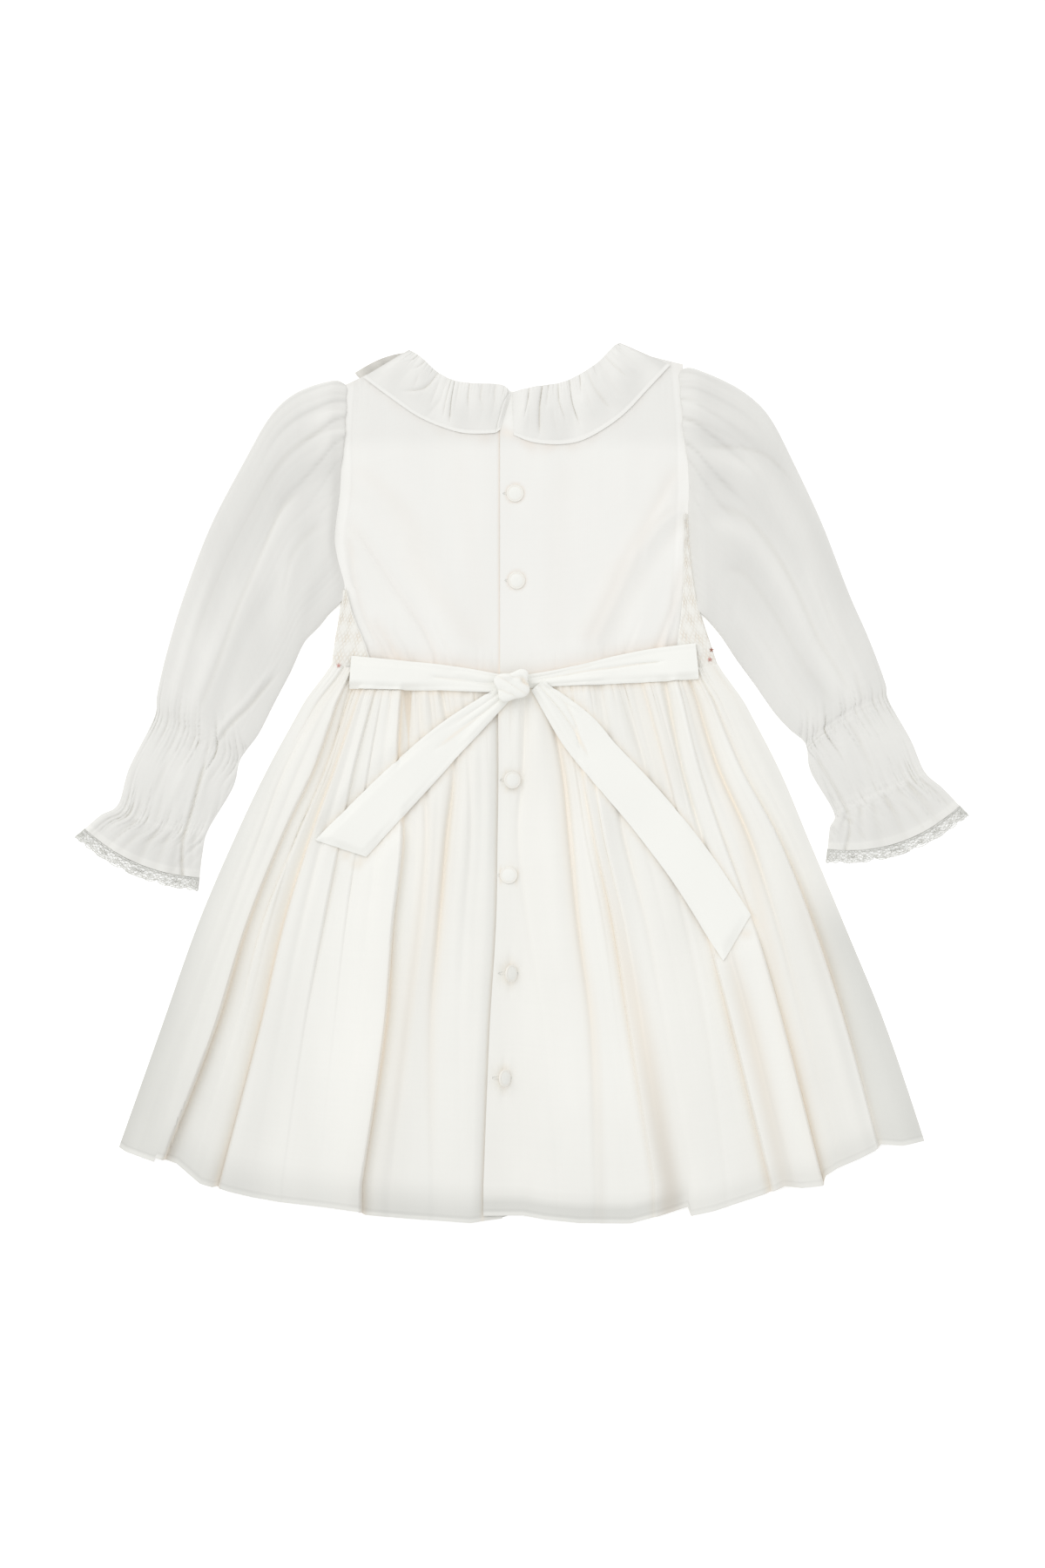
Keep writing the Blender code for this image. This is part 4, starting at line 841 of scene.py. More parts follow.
def lay_cloth(node, look, place, wall=LAWN_WALL, grow=1.0, tube=False):
    """A piece of cloth: a fine grid that place(u, v) sets out, closed into a thin shell.

    place gives x, y and z, the cut's own two coordinates, which become the UV map, and the tones. grow is
    the side of the grid that the cloth's wall is on: 1 over it, -1 under it.
    """
    panel = PANELS[node]
    across = panel.columns
    down = panel.lines
    bpy.ops.object.select_all(action="DESELECT")
    bpy.ops.mesh.primitive_grid_add(x_subdivisions=across, y_subdivisions=down, size=1.0, calc_uvs=True)
    piece = bpy.context.object
    piece.name = node + "_cloth"
    mesh = piece.data
    flat = points_of(mesh)
    spot = (
        np.rint((0.5 - flat[:, 1]) * down).astype(int),
        np.rint((flat[:, 0] + 0.5) * across).astype(int),
    )
    u, v = np.meshgrid(np.linspace(0, 1, across + 1), np.linspace(0, 1, down + 1))
    x, y, z, cut, tones = place(u, v)
    points = np.stack([x[spot], y[spot], z[spot]], axis=-1) * MM
    mesh.vertices.foreach_set("co", points.ravel())
    set_tones(mesh, {tone: np.broadcast_to(values, u.shape)[spot] for tone, values in tones.items()})
    corner = np.empty(len(mesh.loops), int)
    mesh.loops.foreach_get("vertex_index", corner)
    uv = np.stack([cut[0][spot], cut[1][spot]], axis=-1) * MM
    mesh.uv_layers[0].data.foreach_set("uv", uv[corner].ravel())
    mesh.update()
    if tube:
        bpy.ops.object.mode_set(mode="EDIT")
        bpy.ops.mesh.select_all(action="SELECT")
        bpy.ops.mesh.remove_doubles(threshold=0.001 * MM)
        bpy.ops.object.mode_set(mode="OBJECT")
    face_up(mesh, tube)
    bpy.ops.object.modifier_add(type="SOLIDIFY")
    shell = piece.modifiers[-1]
    shell.thickness = wall * MM
    shell.offset = grow
    bpy.ops.object.modifier_apply(modifier=shell.name)
    rest = points_of(mesh)
    rest[:, 2] = np.maximum(rest[:, 2], 0.0)
    mesh.vertices.foreach_set("co", rest.ravel())
    bpy.ops.object.shade_smooth_by_angle(angle=SMOOTH_ANGLE)

    dress(piece, look, node)
    return piece


def face_up(mesh, tube):
    """Turns the faces of a sheet up, or those of a flattened tube out."""
    mesh.update()
    measured = {}
    for label, size in (("normal", 3), ("center", 3), ("area", 1)):
        values = np.empty(len(mesh.polygons) * size)
        mesh.polygons.foreach_get(label, values)
        measured[label] = values.reshape(-1, size)
    weight = measured["center"][:, 2] if tube else 1.0
    if (measured["normal"][:, 2] * measured["area"][:, 0] * weight).sum() < 0:
        mesh.flip_normals()


def neighbours(heights):
    """Nine grids: a grid of heights, and the same one a step to each side and corner."""
    padded = np.pad(heights, 1, mode="edge")
    lines, runs = heights.shape
    return [padded[i : i + lines, j : j + runs] for i in range(3) for j in range(3)]


def bridge(heights):
    """Heights with their dents spanned, nowhere lower than they were, as a stiff piece lies over them."""
    raised = np.maximum(heights, 0.5 * (np.max(neighbours(heights), axis=0) + heights))
    return np.maximum(heights, np.mean(neighbours(raised), axis=0))


class Below:
    """The tops of the pieces laid so far, for the piece that goes over them."""

    def __init__(self, *nodes):
        bpy.context.view_layer.update()
        graph = bpy.context.evaluated_depsgraph_get()
        self.trees = [BVHTree.FromObject(bpy.data.objects[node + "_cloth"], graph) for node in nodes]

    def height(self, x, y, reach, bare):
        """The highest top within reach of a place, in millimetres, or bare where there is nothing."""
        tops = [bare]
        for ring, turns in ((0.0, 1), (0.5, 6), (1.0, 10)):
            for turn in range(turns):
                angle = math.tau * turn / turns
                spot = (x + reach * ring * math.cos(angle), y + reach * ring * math.sin(angle))
                start = Vector((spot[0] * MM, spot[1] * MM, 1.0))
                for tree in self.trees:
                    hit = tree.ray_cast(start, Vector((0, 0, -1)))[0]
                    if hit:
                        tops.append(hit.z / MM)
        return max(tops)

    def floor(self, x, y, step, reach, bare, bridged=0):
        """height() on every step-th row and column of a grid of places, eased over the ones between."""
        lines = np.unique(np.append(np.arange(0, x.shape[0], step[0]), x.shape[0] - 1))
        runs = np.unique(np.append(np.arange(0, x.shape[1], step[1]), x.shape[1] - 1))
        coarse = np.array([[self.height(x[i, j], y[i, j], reach, bare) for j in runs] for i in lines])
        for _ in range(bridged):
            coarse = bridge(coarse)
        by_line = along(lines, coarse, np.arange(x.shape[0]))
        return along(runs, by_line.T, np.arange(x.shape[1])).T


# Skirt


def waist(x):
    """The waist seam, which rises to the sides."""
    return WAIST_Y + WAIST_RISE * (x / WAIST_HALF) ** 2


def run_x(runs, depth):
    """Where one run down the skirt, or one for each column, is at depths below WAIST_Y."""
    runs = np.array(runs, float)
    share = along(SKIRT_DEPTHS, np.eye(len(SKIRT_DEPTHS)), depth)
    climb = (runs[1] - runs[0]) / (SKIRT_DEPTHS[1] - SKIRT_DEPTHS[0])
    at = share @ runs if runs.ndim == 1 else np.einsum("...ck,kc->...c", share, runs)
    return at + climb * np.minimum(depth, 0.0)


def cornered(x, depth):
    """The places across the skirt with its top corners drawn in to the bodice's sides."""
    near = before(depth, -WAIST_RISE, 26.0)
    return x - np.sign(x) * CORNER_DRAW * near * past(np.abs(x) / WAIST_HALF, 0.73, 0.3)


def skirt_runs(edges, folds, columns):
    """The runs of a sheet's columns, which keep to the folds on their way down."""
    knots = np.array(sorted([*edges, *(fold.xs for fold in folds)], key=sum))
    mean = knots.mean(axis=1)
    share = (mean - mean[0]) / (mean[-1] - mean[0])
    at = np.linspace(0, 1, columns + 1)
    return np.array([np.interp(at, share, station) for station in knots.T])


def skirt_ends(runs, hem):
    """The y at which each run leaves the waist seam, and that at which it meets the hem."""
    top = np.full(runs.shape[1], WAIST_Y)
    foot = np.full(runs.shape[1], WAIST_Y - SKIRT_DEPTHS[-1])
    for _ in range(5):
        top = waist(run_x(runs, WAIST_Y - top)) - SEAM_TUCK
        foot = np.interp(run_x(runs, WAIST_Y - foot), column(hem, "x"), column(hem, "y"))
    return top, foot


def row_share(v, body, power):
    """The share of the way down at each row: most above the row at body, the hem's narrow rows below."""
    return np.where(v < body, 0.975 * (v / body) ** power, 0.975 + 0.025 * (v - body) / (1 - body))


def fold_relief(folds, x, depth):
    """How high the folds stand at places on the skirt, below nought in a valley."""
    total = np.zeros(x.shape)
    for fold in folds:
        away = x - run_x(fold.xs, depth)
        rise = along(SKIRT_DEPTHS, fold.rises, depth)
        if fold.lip == 0:
            valley = min(VALLEY_HALF, 0.45 * fold.roll)
            total -= VALLEY_SHARE * rise * bump(away, valley)
            total += SHOULDER_SHARE * rise * bump(np.abs(away) - fold.roll, 0.6 * fold.roll)
        else:
            over = away * fold.lip
            high = rise * smooth_step(over / LIP_WIDTH) * bump(away, fold.roll)
            low = -FOOT_SHARE * rise * bump(away, FOOT_SHARE * fold.roll)
            total += np.where(over > 0, high, low)
    return total


def fold_shade(folds, x, depth):
    """The warm shade on the low side of each fold, and in the valleys, where the layers lie deep."""
    total = np.zeros(x.shape)
    for fold in folds:
        away = x - run_x(fold.xs, depth)
        rise = along(SKIRT_DEPTHS, fold.rises, depth)
        strong = np.minimum(rise / 5.5, 1.0) * (0.68 + 0.32 * np.sin(0.04 * depth + fold.xs[0]))
        if fold.lip == 0:
            total += 0.15 * strong * bump(away, 0.5 * fold.roll)
        else:
            over = away * fold.lip
            low = np.maximum(-over, 0.0)
            total += 0.2 * strong * bump(low, 0.4 * fold.roll) * before(over, 0, LIP_WIDTH)
            total += 0.35 * strong * bump(over - 0.4 * LIP_WIDTH, 0.6 * LIP_WIDTH)
    return total


def shade_streaks(streaks, x, depth):
    """How warm and how grey the painted shade streaks make places on the skirt."""
    warm = np.zeros(x.shape)
    grey = np.zeros(x.shape)
    for streak in streaks:
        near = bump(x - run_x(streak.xs, depth), streak.half)
        warm += along(SKIRT_DEPTHS, streak.warms, depth) * near
        grey += along(SKIRT_DEPTHS, streak.greys, depth) * near
    return warm, grey


def outside(stretches, x, y):
    """How far places are outside the outline of the sash's bands or tails; below nought they lie under it."""
    gap = np.full(x.shape, 99.0)
    for name, table in SASH_RUNS.items():
        if stretches not in name:
            continue
        spots = [row_at(table, place) for place in np.linspace(0, len(table) - 1, 33)]
        for here, ahead in zip(spots, spots[1:]):
            step = math.hypot(ahead.x - here.x, ahead.y - here.y)
            run = ((x - here.x) * (ahead.x - here.x) + (y - here.y) * (ahead.y - here.y)) / step
            off = ((y - here.y) * (ahead.x - here.x) - (x - here.x) * (ahead.y - here.y)) / step
            beyond = np.abs(run - 0.5 * step) - 0.5 * step
            gap = np.minimum(gap, np.maximum(np.abs(off) - 0.5 * here.width, beyond))
    return gap


def pucker(dx, dy, lean):
    """How the cloth dips and creases round a button that stands turned in its hole."""
    away = np.hypot(dx, dy)
    rays = np.cos(6 * np.arctan2(dy, dx))
    return lean / FULL_LEAN * (0.7 * rays * bump(away - 7.0, 3.5) - 1.2 * bump(away, 4.5))


def skirt_height(side, at, creases):
    """How high a half of the back lies: its folds, its gathers and its placket, pressed down by the sash."""
    roll = smooth_step(at.from_side / SIDE_ROLL)
    near_waist = roll + (1 - roll) * before(at.depth, 0, 34.0)
    far_waist = roll + 0.8 * (near_waist - roll)
    rise = fold_relief(FOLDS[side], at.x, at.depth) * roll
    rise += (hung(gathers, WAIST_GATHERS, at.top_x, at.depth) + creases) * far_waist
    rise *= PRESSED + (1 - PRESSED) * past(at.from_tails, 0, 10.0) * past(at.from_bands, -1, 5.0)
    bed = SKIRT_BED * near_waist
    if side == RIGHT:
        bed = bed + PLACKET_RISE * bump(at.from_lap, PLACKET_RIDGE)
        rise *= smooth_step(at.from_lap / PLACKET_ROLL)
    else:
        clear = past(at.from_lap, -1, PLACKET_ROLL)
        bed = PLACKET_BED + (bed - PLACKET_BED) * clear
        rise *= clear
    for spot in BUTTONS[2:]:
        bed = bed + pucker(at.x - spot.x, at.y - spot.y, spot.lean)
    z = 2 * SOLID_WALL + GAP - LAWN_WALL + np.maximum(0.0, bed + rise)
    return z + hem_relief(at.above, at.x, HEM_WIDTH)


def skirt_lining(side, at):
    """How far the skirt is lined, from 0 on the single lawn at its hem and sides to 1."""
    hem = before(at.above, 2, HEM_SHADE)
    if side == RIGHT:
        beyond = past(at.x, run_x(FOLDS[RIGHT][LAST_PANEL].xs, at.depth), 3.0)
        body = 1 - 0.8 * beyond * past(at.depth, 120, 50.0)
        sharp = before(at.above, BAND_HEIGHT - 3, 6.0)
        hem = 0.15 * hem + 0.85 * sharp * (1 - 0.7 * past(at.x, 96, 10.0))
    else:
        body = 1 - 0.75 * before(at.from_side, 0, 48.0) * past(at.depth, 0, 240.0)
        body = body - 0.45 * before(at.from_side, 0, 95.0) * past(at.depth, 130, 170.0)
        hem = hem * (0.62 + 0.28 * past(at.x, -112, 10.0))
    return np.maximum((1 - hem) * body, 0.5 * before(at.above, 2.2, 0.8))


def skirt_tones(side, at, z, creases):
    """The tones of a half of the skirt's back: painted warm shade in its folds and painted shadows by the
    sash, placket and buttons, greyer to the hem and the sides.
    """
    # Painted shade: warm and grey streaks down the folds.
    warm, grey = shade_streaks(SKIRT_SHADES[side], at.x, at.depth)
    low = hollow_of(z, 9)
    # Darker towards the hem, and a little lighter all over.
    grey = grey + (0.26 if side == LEFT else 0.2) * past(at.depth, 225, 90.0) - 0.1
    # Painted light: the creases near the waist are lightened against their shade.
    grey = grey - 1.1 * low * before(at.depth, 60, 130.0)
    # Painted warm shade in the creases, on the low side of the folds and in the gathers' creases.
    hollow = 0.35 * low + fold_shade(FOLDS[side], at.x, at.depth) - 0.2 * creases + warm
    hollow += 0.03 * np.sin(0.11 * at.top_x + 0.01 * at.depth)
    # Painted shadow along the edges of the sash's tails and bands, and round the buttons.
    hollow += 0.5 * bump(np.minimum(at.from_tails, at.from_bands) - 0.6, 2.0) + button_shadow(at.x, at.y)
    if side == LEFT:
        # Painted shadow beside the placket's edge, and a painted dark wedge where a fold stands open below
        # the waist.
        half = GASH_HALF * (1 - 0.95 * past(at.depth, -8, GASH_DEPTH))
        gash_shadow = smooth_step((half + 0.5 - np.abs(at.x - run_x(GASH_RUN, at.depth))) / 1.2)
        gash_shadow = gash_shadow * before(at.depth, 0.75 * GASH_DEPTH, 16.0)
        hollow += 0.5 * bump(at.from_lap - 0.5, 1.3) + gash_shadow
        grey += gash_shadow
    # Painted shade where the cloth rolls down to the side seams, and broad painted light and shade across its
    # drape.
    rim = 0.35 * before(at.from_side, 0, 16.0) * past(at.depth, 0, 60.0)
    drape_shade = 0.35 * np.sin(0.071 * at.top_x + 0.4 * np.sin(0.012 * at.depth))
    drape_shade += 0.2 * np.sin(0.163 * at.top_x + 2)
    # The shade tone also has a thin darker line just above the hem's stitches.
    return {
        "hollow": np.clip(hollow, 0, 1),
        "lined": np.clip(skirt_lining(side, at), 0, 1),
        "shade": 0.22 * drape_shade - rim - 0.5 * bump(at.above - 3.4, 0.7) - grey,
    }


def skirt_back(side, look):
    """A half of the skirt's back; the right-hand one's placket lies on top."""
    node = f"back_skirt_{NAMES[side]}"
    panel = PANELS[node]
    edge = SKIRT_EDGES[side]
    lap = PLACKET_X if side == RIGHT else tuple(x + UNDER_LAP for x in PLACKET_X)
    runs = skirt_runs((edge, lap), FOLDS[side], panel.columns)
    top, foot = skirt_ends(runs, HEMS[side])
    top_x = run_x(runs, np.zeros(panel.columns + 1))

    def place(u, v):
        share = row_share(v, 0.88, 1.15)
        y = top + (foot - top) * share
        depth = WAIST_Y - y
        x = run_x(runs, depth)
        at = SimpleNamespace(
            x=x,
            y=y,
            depth=depth,
            top_x=top_x,
            above=y - foot,
            from_side=np.abs(x - run_x(edge, depth)),
            from_lap=(x - run_x(PLACKET_X, depth)) * side,
            from_tails=outside("tail", x, y),
            from_bands=outside("band", x, y),
        )
        creases = hung(valleys, WAIST_CREASES, top_x, depth)
        z = skirt_height(side, at, creases)
        cut = (panel.wide * u, panel.long * share)
        return cornered(x, depth), y, z, cut, skirt_tones(side, at, z, creases)

    lay_cloth(node, look, place)


def skirt_front(look):
    """The front of the skirt, flat on its face; its side edges turn up to the back's."""
    panel = PANELS["front_skirt"]
    left, right = (tuple(x - side * FRONT_SIDE_INSET for x in SKIRT_EDGES[side]) for side in NAMES)
    runs = skirt_runs((left, right), [], panel.columns)
    top, foot = skirt_ends(runs, FRONT_HEM)

    def place(u, v):
        share = row_share(v, 0.8, 1)
        y = top + (foot - top) * share
        depth = WAIST_Y - y
        x = run_x(runs, depth)
        above = y - foot
        edge = np.minimum(x - run_x(left, depth), run_x(right, depth) - x)
        pinches = hung(gathers, FRONT_GATHERS, run_x(runs, np.zeros(panel.columns + 1)), depth)
        turned = SOLID_WALL + GAP - LAWN_WALL
        z = turned * before(edge, 0, 5.0) + pinches * smooth_step(edge / 9.0)
        z = z + hem_relief(above, x, HEM_WIDTH)
        tones = {"hollow": 0 * z, "lined": 0.55 * past(above, BAND_HEIGHT - 1.2, 2.6)}
        return cornered(x, depth), y, z, (panel.wide * u, panel.long * share), tones

    lay_cloth("front_skirt", look, place)


# Bodice


def edge_x(side, y, seam):
    """The bodice's edge at heights: the armhole above the side seam, a side column from there down."""
    above = read(ARMHOLES[side], "y", "x", y)
    below = read(SIDES[side], "y", seam, y)
    return np.where(y > SIDES[side][0].y, above, below)


def shoulder(off):
    """The shoulder line, where off runs from 1 at a neck point outwards."""
    fall = np.where(off < 0, LEFT_SHOULDER_FALL, RIGHT_SHOULDER_FALL)
    return NECK_Y + np.sign(off) * NECK_TILT - (np.abs(off) - 1) * NECK_RADIUS * fall


def front_neckline(x):
    off = (x - CENTRE_X) / NECK_RADIUS
    inside = NECK_Y + NECK_TILT * off - FRONT_NECK_DROP * np.sqrt(np.clip(1 - off * off, 0, 1))
    return np.where(np.abs(off) > 1, shoulder(off), inside)


def back_neckline(x):
    off = (x - CENTRE_X) / NECK_RADIUS
    edge = COLLAR_NECKS[LEFT][:0:-1] + COLLAR_NECKS[RIGHT][1:]
    return np.where(np.abs(off) > 1, shoulder(off), read(edge, "x", "y", x))


def bodice_creases(x, y, side):
    """The long soft folds from the armholes to the middle of the waist, each with a dip on its outer side."""
    folds = BODICE_CREASES[side]
    dips = []
    for fold in folds:
        places = [at + 1.6 * fold.half * side for at in fold.places]
        dips.append(Track(fold.stops, places, -0.5 * fold.rise, 0.8 * fold.half))
    return tracked(folds + dips, BODICE_FADE, y, x)


def bodice_back(side, look):
    """A half of the bodice's back, from the placket to the side."""
    node = f"back_bodice_{NAMES[side]}"
    armhole = ARMHOLES[side]
    inner = LAP_EDGE_X if side == RIGHT else LAP_EDGE_X + UNDER_LAP
    outer_top = armhole[0].x - 0.5 * side
    outer_low = SIDES[side][-1].seam_x

    def place(u, v):
        y_top = back_neckline(inner + (outer_top - inner) * u) - NECK_INSET
        y_low = waist(inner + (outer_low - inner) * u) + SEAM_TUCK
        y = y_top + (y_low - y_top) * v
        under_sleeve = past(y, armhole[-1].y + 2, 8.0) * smooth_step((armhole[0].y - 1 - y) / 6.0)
        outer = edge_x(side, y, "seam_x") + side * SEAM_RUN * under_sleeve
        x = inner + (outer - inner) * u
        from_seam = np.abs(outer - x) - SEAM_RUN * under_sleeve
        allowance = past(from_seam, -0.4, 0.5) * before(from_seam, SEAM_ALLOWANCE, 1.2) * past(y, 112, 8.0)
        ridge = bump(from_seam - 0.7, 0.8) * (1 - under_sleeve)
        stitched = from_seam - SEAM_ALLOWANCE - 1

        bed = BODICE_BED + BODICE_SWELL * smooth_step(u / 0.25) * smooth_step((1 - u) / 0.2)
        lap = (LAP_RISE if side == RIGHT else -LAP_DIP) * bump(u, 0.18)
        crease = bodice_creases(x, y, side) * smooth_step(u / 0.2) * smooth_step((1 - u) / 0.1)
        pinch = hung(valleys, BODICE_WAIST_CREASES, x, y - y_low - 12) * smooth_step(u / 0.3)
        pinch += hung(valleys, BODICE_NECK_CREASES, x, y_top - 8 - y) * smooth_step(u / 0.15)
        z = bed + lap + np.maximum(crease, -1.0) * smooth_step(v / 0.12) + pinch
        for spot in BUTTONS[:2]:
            z = z - 0.5 * bump(np.hypot(x - spot.x, y - spot.y), 6.5)
        z = z + SOLID_WALL - LAWN_WALL + 0.12 * allowance - 0.15 * bump(stitched, 0.5) + 0.3 * ridge

        shade = bodice_shade(side, x, y, u, pinch)
        # The seam allowance shows lighter through the lawn; a painted highlight on the seam's ridge and a
        # darker line at its stitches.
        light = 0.12 * allowance + 0.25 * ridge - 0.12 * bump(stitched, 0.8)
        # Darker up towards the neck, and darker again under the painted warm shades.
        light = light - 0.38 * past(y, 208, 14.0) - 0.5 * np.clip(shade, 0, 0.3)
        # Painted light in the gap between the collar's halves, against the shade there.
        light = light + 0.6 * bump(x + 9, 5) * past(y, 214, 8.0)
        # Painted warm shade in the bodice's creases and from its painted shades and shadows.
        tones = {
            "hollow": np.clip(0.5 * hollow_of(z, 7) + shade, 0, 1),
            "lined": 0.8 + 0.2 * allowance,
            "shade": light,
        }
        return x, y, z, (100 * u, 200 * v), tones

    lay_cloth(node, look, place)


def bodice_shade(side, x, y, u, pinch):
    """The warm shades on a half of the back: its folds, the edges of the sash, the collar and the buttons."""
    over_sash = y - read(SASH_TOP, "x", "y", x)
    drawn = 0.8 + 0.2 * np.clip(-pinch / 0.2, 0, 1)
    # Painted shade along the folds under the bodice.
    shade = 0.7 * tracked(BODICE_SHADES[side], BODICE_SHADE_FADE, y, x)
    # Painted shade above the sash's upper edge.
    shade += 0.5 * drawn * bump(over_sash, 6.5) * (0.35 + 0.65 * smooth_step(u / 0.2))
    # Painted shadow below the collar's edge.
    collar_edge = COLLAR_EDGES[LEFT][::-1] + COLLAR_EDGES[RIGHT][1:]
    under = read(collar_edge, "x", "y", x) - y
    near = (0.16 + 0.38 * bump(x - 2, 36)) * (0.75 + 0.25 * np.sin(0.45 * x))
    shade += near * bump(under - 0.5, 4.2 + 1.2 * np.sin(0.21 * x))
    # Painted shadows round the buttons and along the sash's upper edge.
    shade += button_shadow(x, y) + 0.35 * bump(over_sash + 0.5, 2.0)
    # Painted shadow beside the placket's edge.
    if side == LEFT:
        shade += 0.8 * bump(LAP_EDGE_X - x - 0.3, 0.9)
    return shade


def smocking(across, down):
    """Honeycomb smocking: tubes of pleats drawn together by turns, row by row."""
    across = across + 0.35 * np.sin(0.31 * down + 1.0) + 0.3 * np.sin(0.83 * across)
    down = down + 0.4 * np.sin(0.47 * across) + 0.25 * np.sin(0.19 * down)
    lean = 0.5 * np.abs(np.mod(down / SMOCK_ROW, 2) - 1)
    pleats = [np.abs(np.sin(np.pi * (across / SMOCK_PITCH + way * lean))) for way in (1, -1)]
    deep = 0.55 + 0.45 * np.sin(0.37 * across + 0.23 * down) * np.sin(0.29 * down - 0.4 * across)
    return 1 - deep * (1 - np.minimum(*pleats) ** 0.6)


def bodice_front(look):
    """The smocked front of the bodice, face down, lifted a little where the front collar lies under it."""

    def front_edge(side, y):
        turned = TURN_INSET * smooth_step((TURN_TOPS[side] + TURN_SPAN - y) / 7.0)
        return edge_x(side, y, "outer_x") - side * (2 * GAP + turned)

    def place(u, v):
        left, right = (ARMHOLES[side][0].x - 0.5 * side for side in NAMES)
        y_top = front_neckline(left + (right - left) * u) - NECK_INSET
        left, right = (SIDES[side][-1].outer_x for side in NAMES)
        y_low = waist(left + (right - left) * u) + GAP
        y = y_top + (y_low - y_top) * v
        left, right = (front_edge(side, y) for side in NAMES)
        x = left + (right - left) * u
        relief = 0.6 * (1 - smocking(x, y)) * smooth_step((SMOCK_TOP - y) / 6.0)
        z = FRONT_LIFT * past(y, FRONT_LIFT_Y, 12.0) + relief
        # Painted warm shade in the smocking's hollows.
        tones = {"hollow": relief, "lined": 0.5 + 0 * z}
        return x, y, z, (230 * u, 200 * v), tones

    lay_cloth("front_bodice", look, place)


def bodice_turn(side, look):
    """The smocked edge of the front, turned up round the side and over to the side seam."""
    node = f"front_side_{NAMES[side]}"
    foot = waist(WAIST_HALF) - 1.5
    top = foot + PANELS[node].long
    radius = TURN_HEIGHT / 2
    run = 0.9 * radius
    turned_z = radius * (1 - math.cos(TURN_ANGLE))

    def place(u, v):
        y = top + (foot - top) * v
        seam = read(SIDES[side], "y", "seam_x", y)
        outer = read(SIDES[side], "y", "outer_x", y)
        wide = np.maximum(radius, np.abs(outer - seam) + 1.5)
        turn = np.minimum(u / TURN_ROUND, 1.0) * TURN_ANGLE
        start = outer - side * run * (1 - math.sin(TURN_ANGLE))
        share = np.clip((u - TURN_ROUND) / (1 - TURN_ROUND), 0, 1)
        round_x = outer - side * run * (1 - np.sin(turn))
        x = np.where(u < TURN_ROUND, round_x, start + (outer - side * wide - start) * share)
        run_across = u * (wide + 9.0)
        comb = smocking(run_across, y)
        within = smooth_step((1 - share) / 0.08) * smooth_step(u / 0.2)
        z = np.where(u < TURN_ROUND, radius * (1 - np.cos(turn)), turned_z + REST * share)
        z = z + SMOCKING_RELIEF * comb * within
        # Painted warm shade in the smocking's hollows, and painted light and shade over its honeycomb.
        deep = np.clip((0.85 - comb) / 0.55, 0, 1)
        tones = {"hollow": (0.1 + 0.8 * deep) * within, "lined": 0.9 + 0 * z, "shade": 1.2 * (comb - 0.7)}
        return x, y, z, (run_across, 70 * v), tones

    lay_cloth(node, look, place, wall=THIN_WALL, grow=-1.0)


# Sleeves


def ring_point(ring, turn, side, crown=SLEEVE_CROWN):
    """A point on a flattened ring: turn 0 is its outer side, half a turn its inner side."""
    across = (1 - np.cos(turn)) / 2
    run_across = ring.inner_x - ring.outer_x
    run_up = ring.inner_y - ring.outer_y
    bend = ring.bow * np.sin(turn) ** 2 * side / np.hypot(run_across, run_up)
    x = ring.outer_x + run_across * across - run_up * bend
    y = ring.outer_y + run_up * across + run_across * bend
    lift = np.sin(turn)
    arch = SLEEVE_EDGE + (ring.height - SLEEVE_EDGE) * np.maximum(lift, 0.0) ** crown
    under = SLEEVE_EDGE * (1 - smooth_step(-2.2 * lift))
    return x, y, np.where(lift < 0, under, arch)


def sleeve_turn(u):
    """The turn for a share of the way round, with most points on the upper layer."""
    upper = math.pi * u / SLEEVE_TOP_SHARE
    under = math.pi + math.pi * (u - SLEEVE_TOP_SHARE) / (1 - SLEEVE_TOP_SHARE)
    return np.where(u <= SLEEVE_TOP_SHARE, upper, under)


def sleeve_length(table):
    """How far along the sleeve each of its rings is."""
    middle = [((ring.outer_x + ring.inner_x) / 2, (ring.outer_y + ring.inner_y) / 2) for ring in table]
    steps = [math.dist(a, b) for a, b in zip(middle, middle[1:])]
    return np.concatenate([[0.0], np.cumsum(steps)])


def frill_wave(share):
    """The waves across a frill, from -1 to 1."""
    return np.sin(math.tau * (share * 3.4 + 0.3 * np.sin(7 * share)))


def head_creases(side, at):
    """The creases that fan out from the armhole over a sleeve's head, each as deep as its row says."""
    total = np.zeros(at.share.shape)
    for start, spread, deep in SLEEVE_HEADS[side]:
        off = (at.share - (start + (spread - start) * smooth_step(at.stop / 2.4))) * at.wide
        length = 20 + 16 * deep
        fade = before(at.run, 0.35 * length, 0.9 * length)
        total -= deep * fade * np.exp(-np.abs(off / (1.0 + 0.035 * at.run)) ** 1.5)
    return total


def shirring(at):
    """The puckers beside each line of elastic: their relief and their light."""
    relief = 0.0
    light = 0.0
    for ring in SHIRRED_RINGS:
        away = at.run - at.lengths[ring]
        here = at.share * at.wide + 30 * ring
        puckers = 0.3 + 0.7 * np.abs(np.sin(np.pi * here / 1.6))
        relief = relief + hung(valleys, SHIRRING, here, np.abs(away)) - 0.4 * bump(away, 0.8)
        relief = relief + 0.5 * puckers * bump(np.abs(away) - 1.3, 0.7)
        light = light + 0.5 * puckers * bump(away, 1.8)
    return relief, light


def frill_relief(side, at):
    """The waves and the creases of the frill below the shirring."""
    relief = 0.8 * at.frill * frill_wave(at.share)
    for start, deep in FRILL_CREASES[side]:
        off = (at.share - start - 0.03 * at.frill * np.sign(start - 0.5)) * at.wide
        fall = smooth_step(at.frill / 0.15) * (1 - 0.35 * at.frill)
        relief = relief - deep * fall * bump(off, 1.3 + 2.4 * at.frill)
    return relief


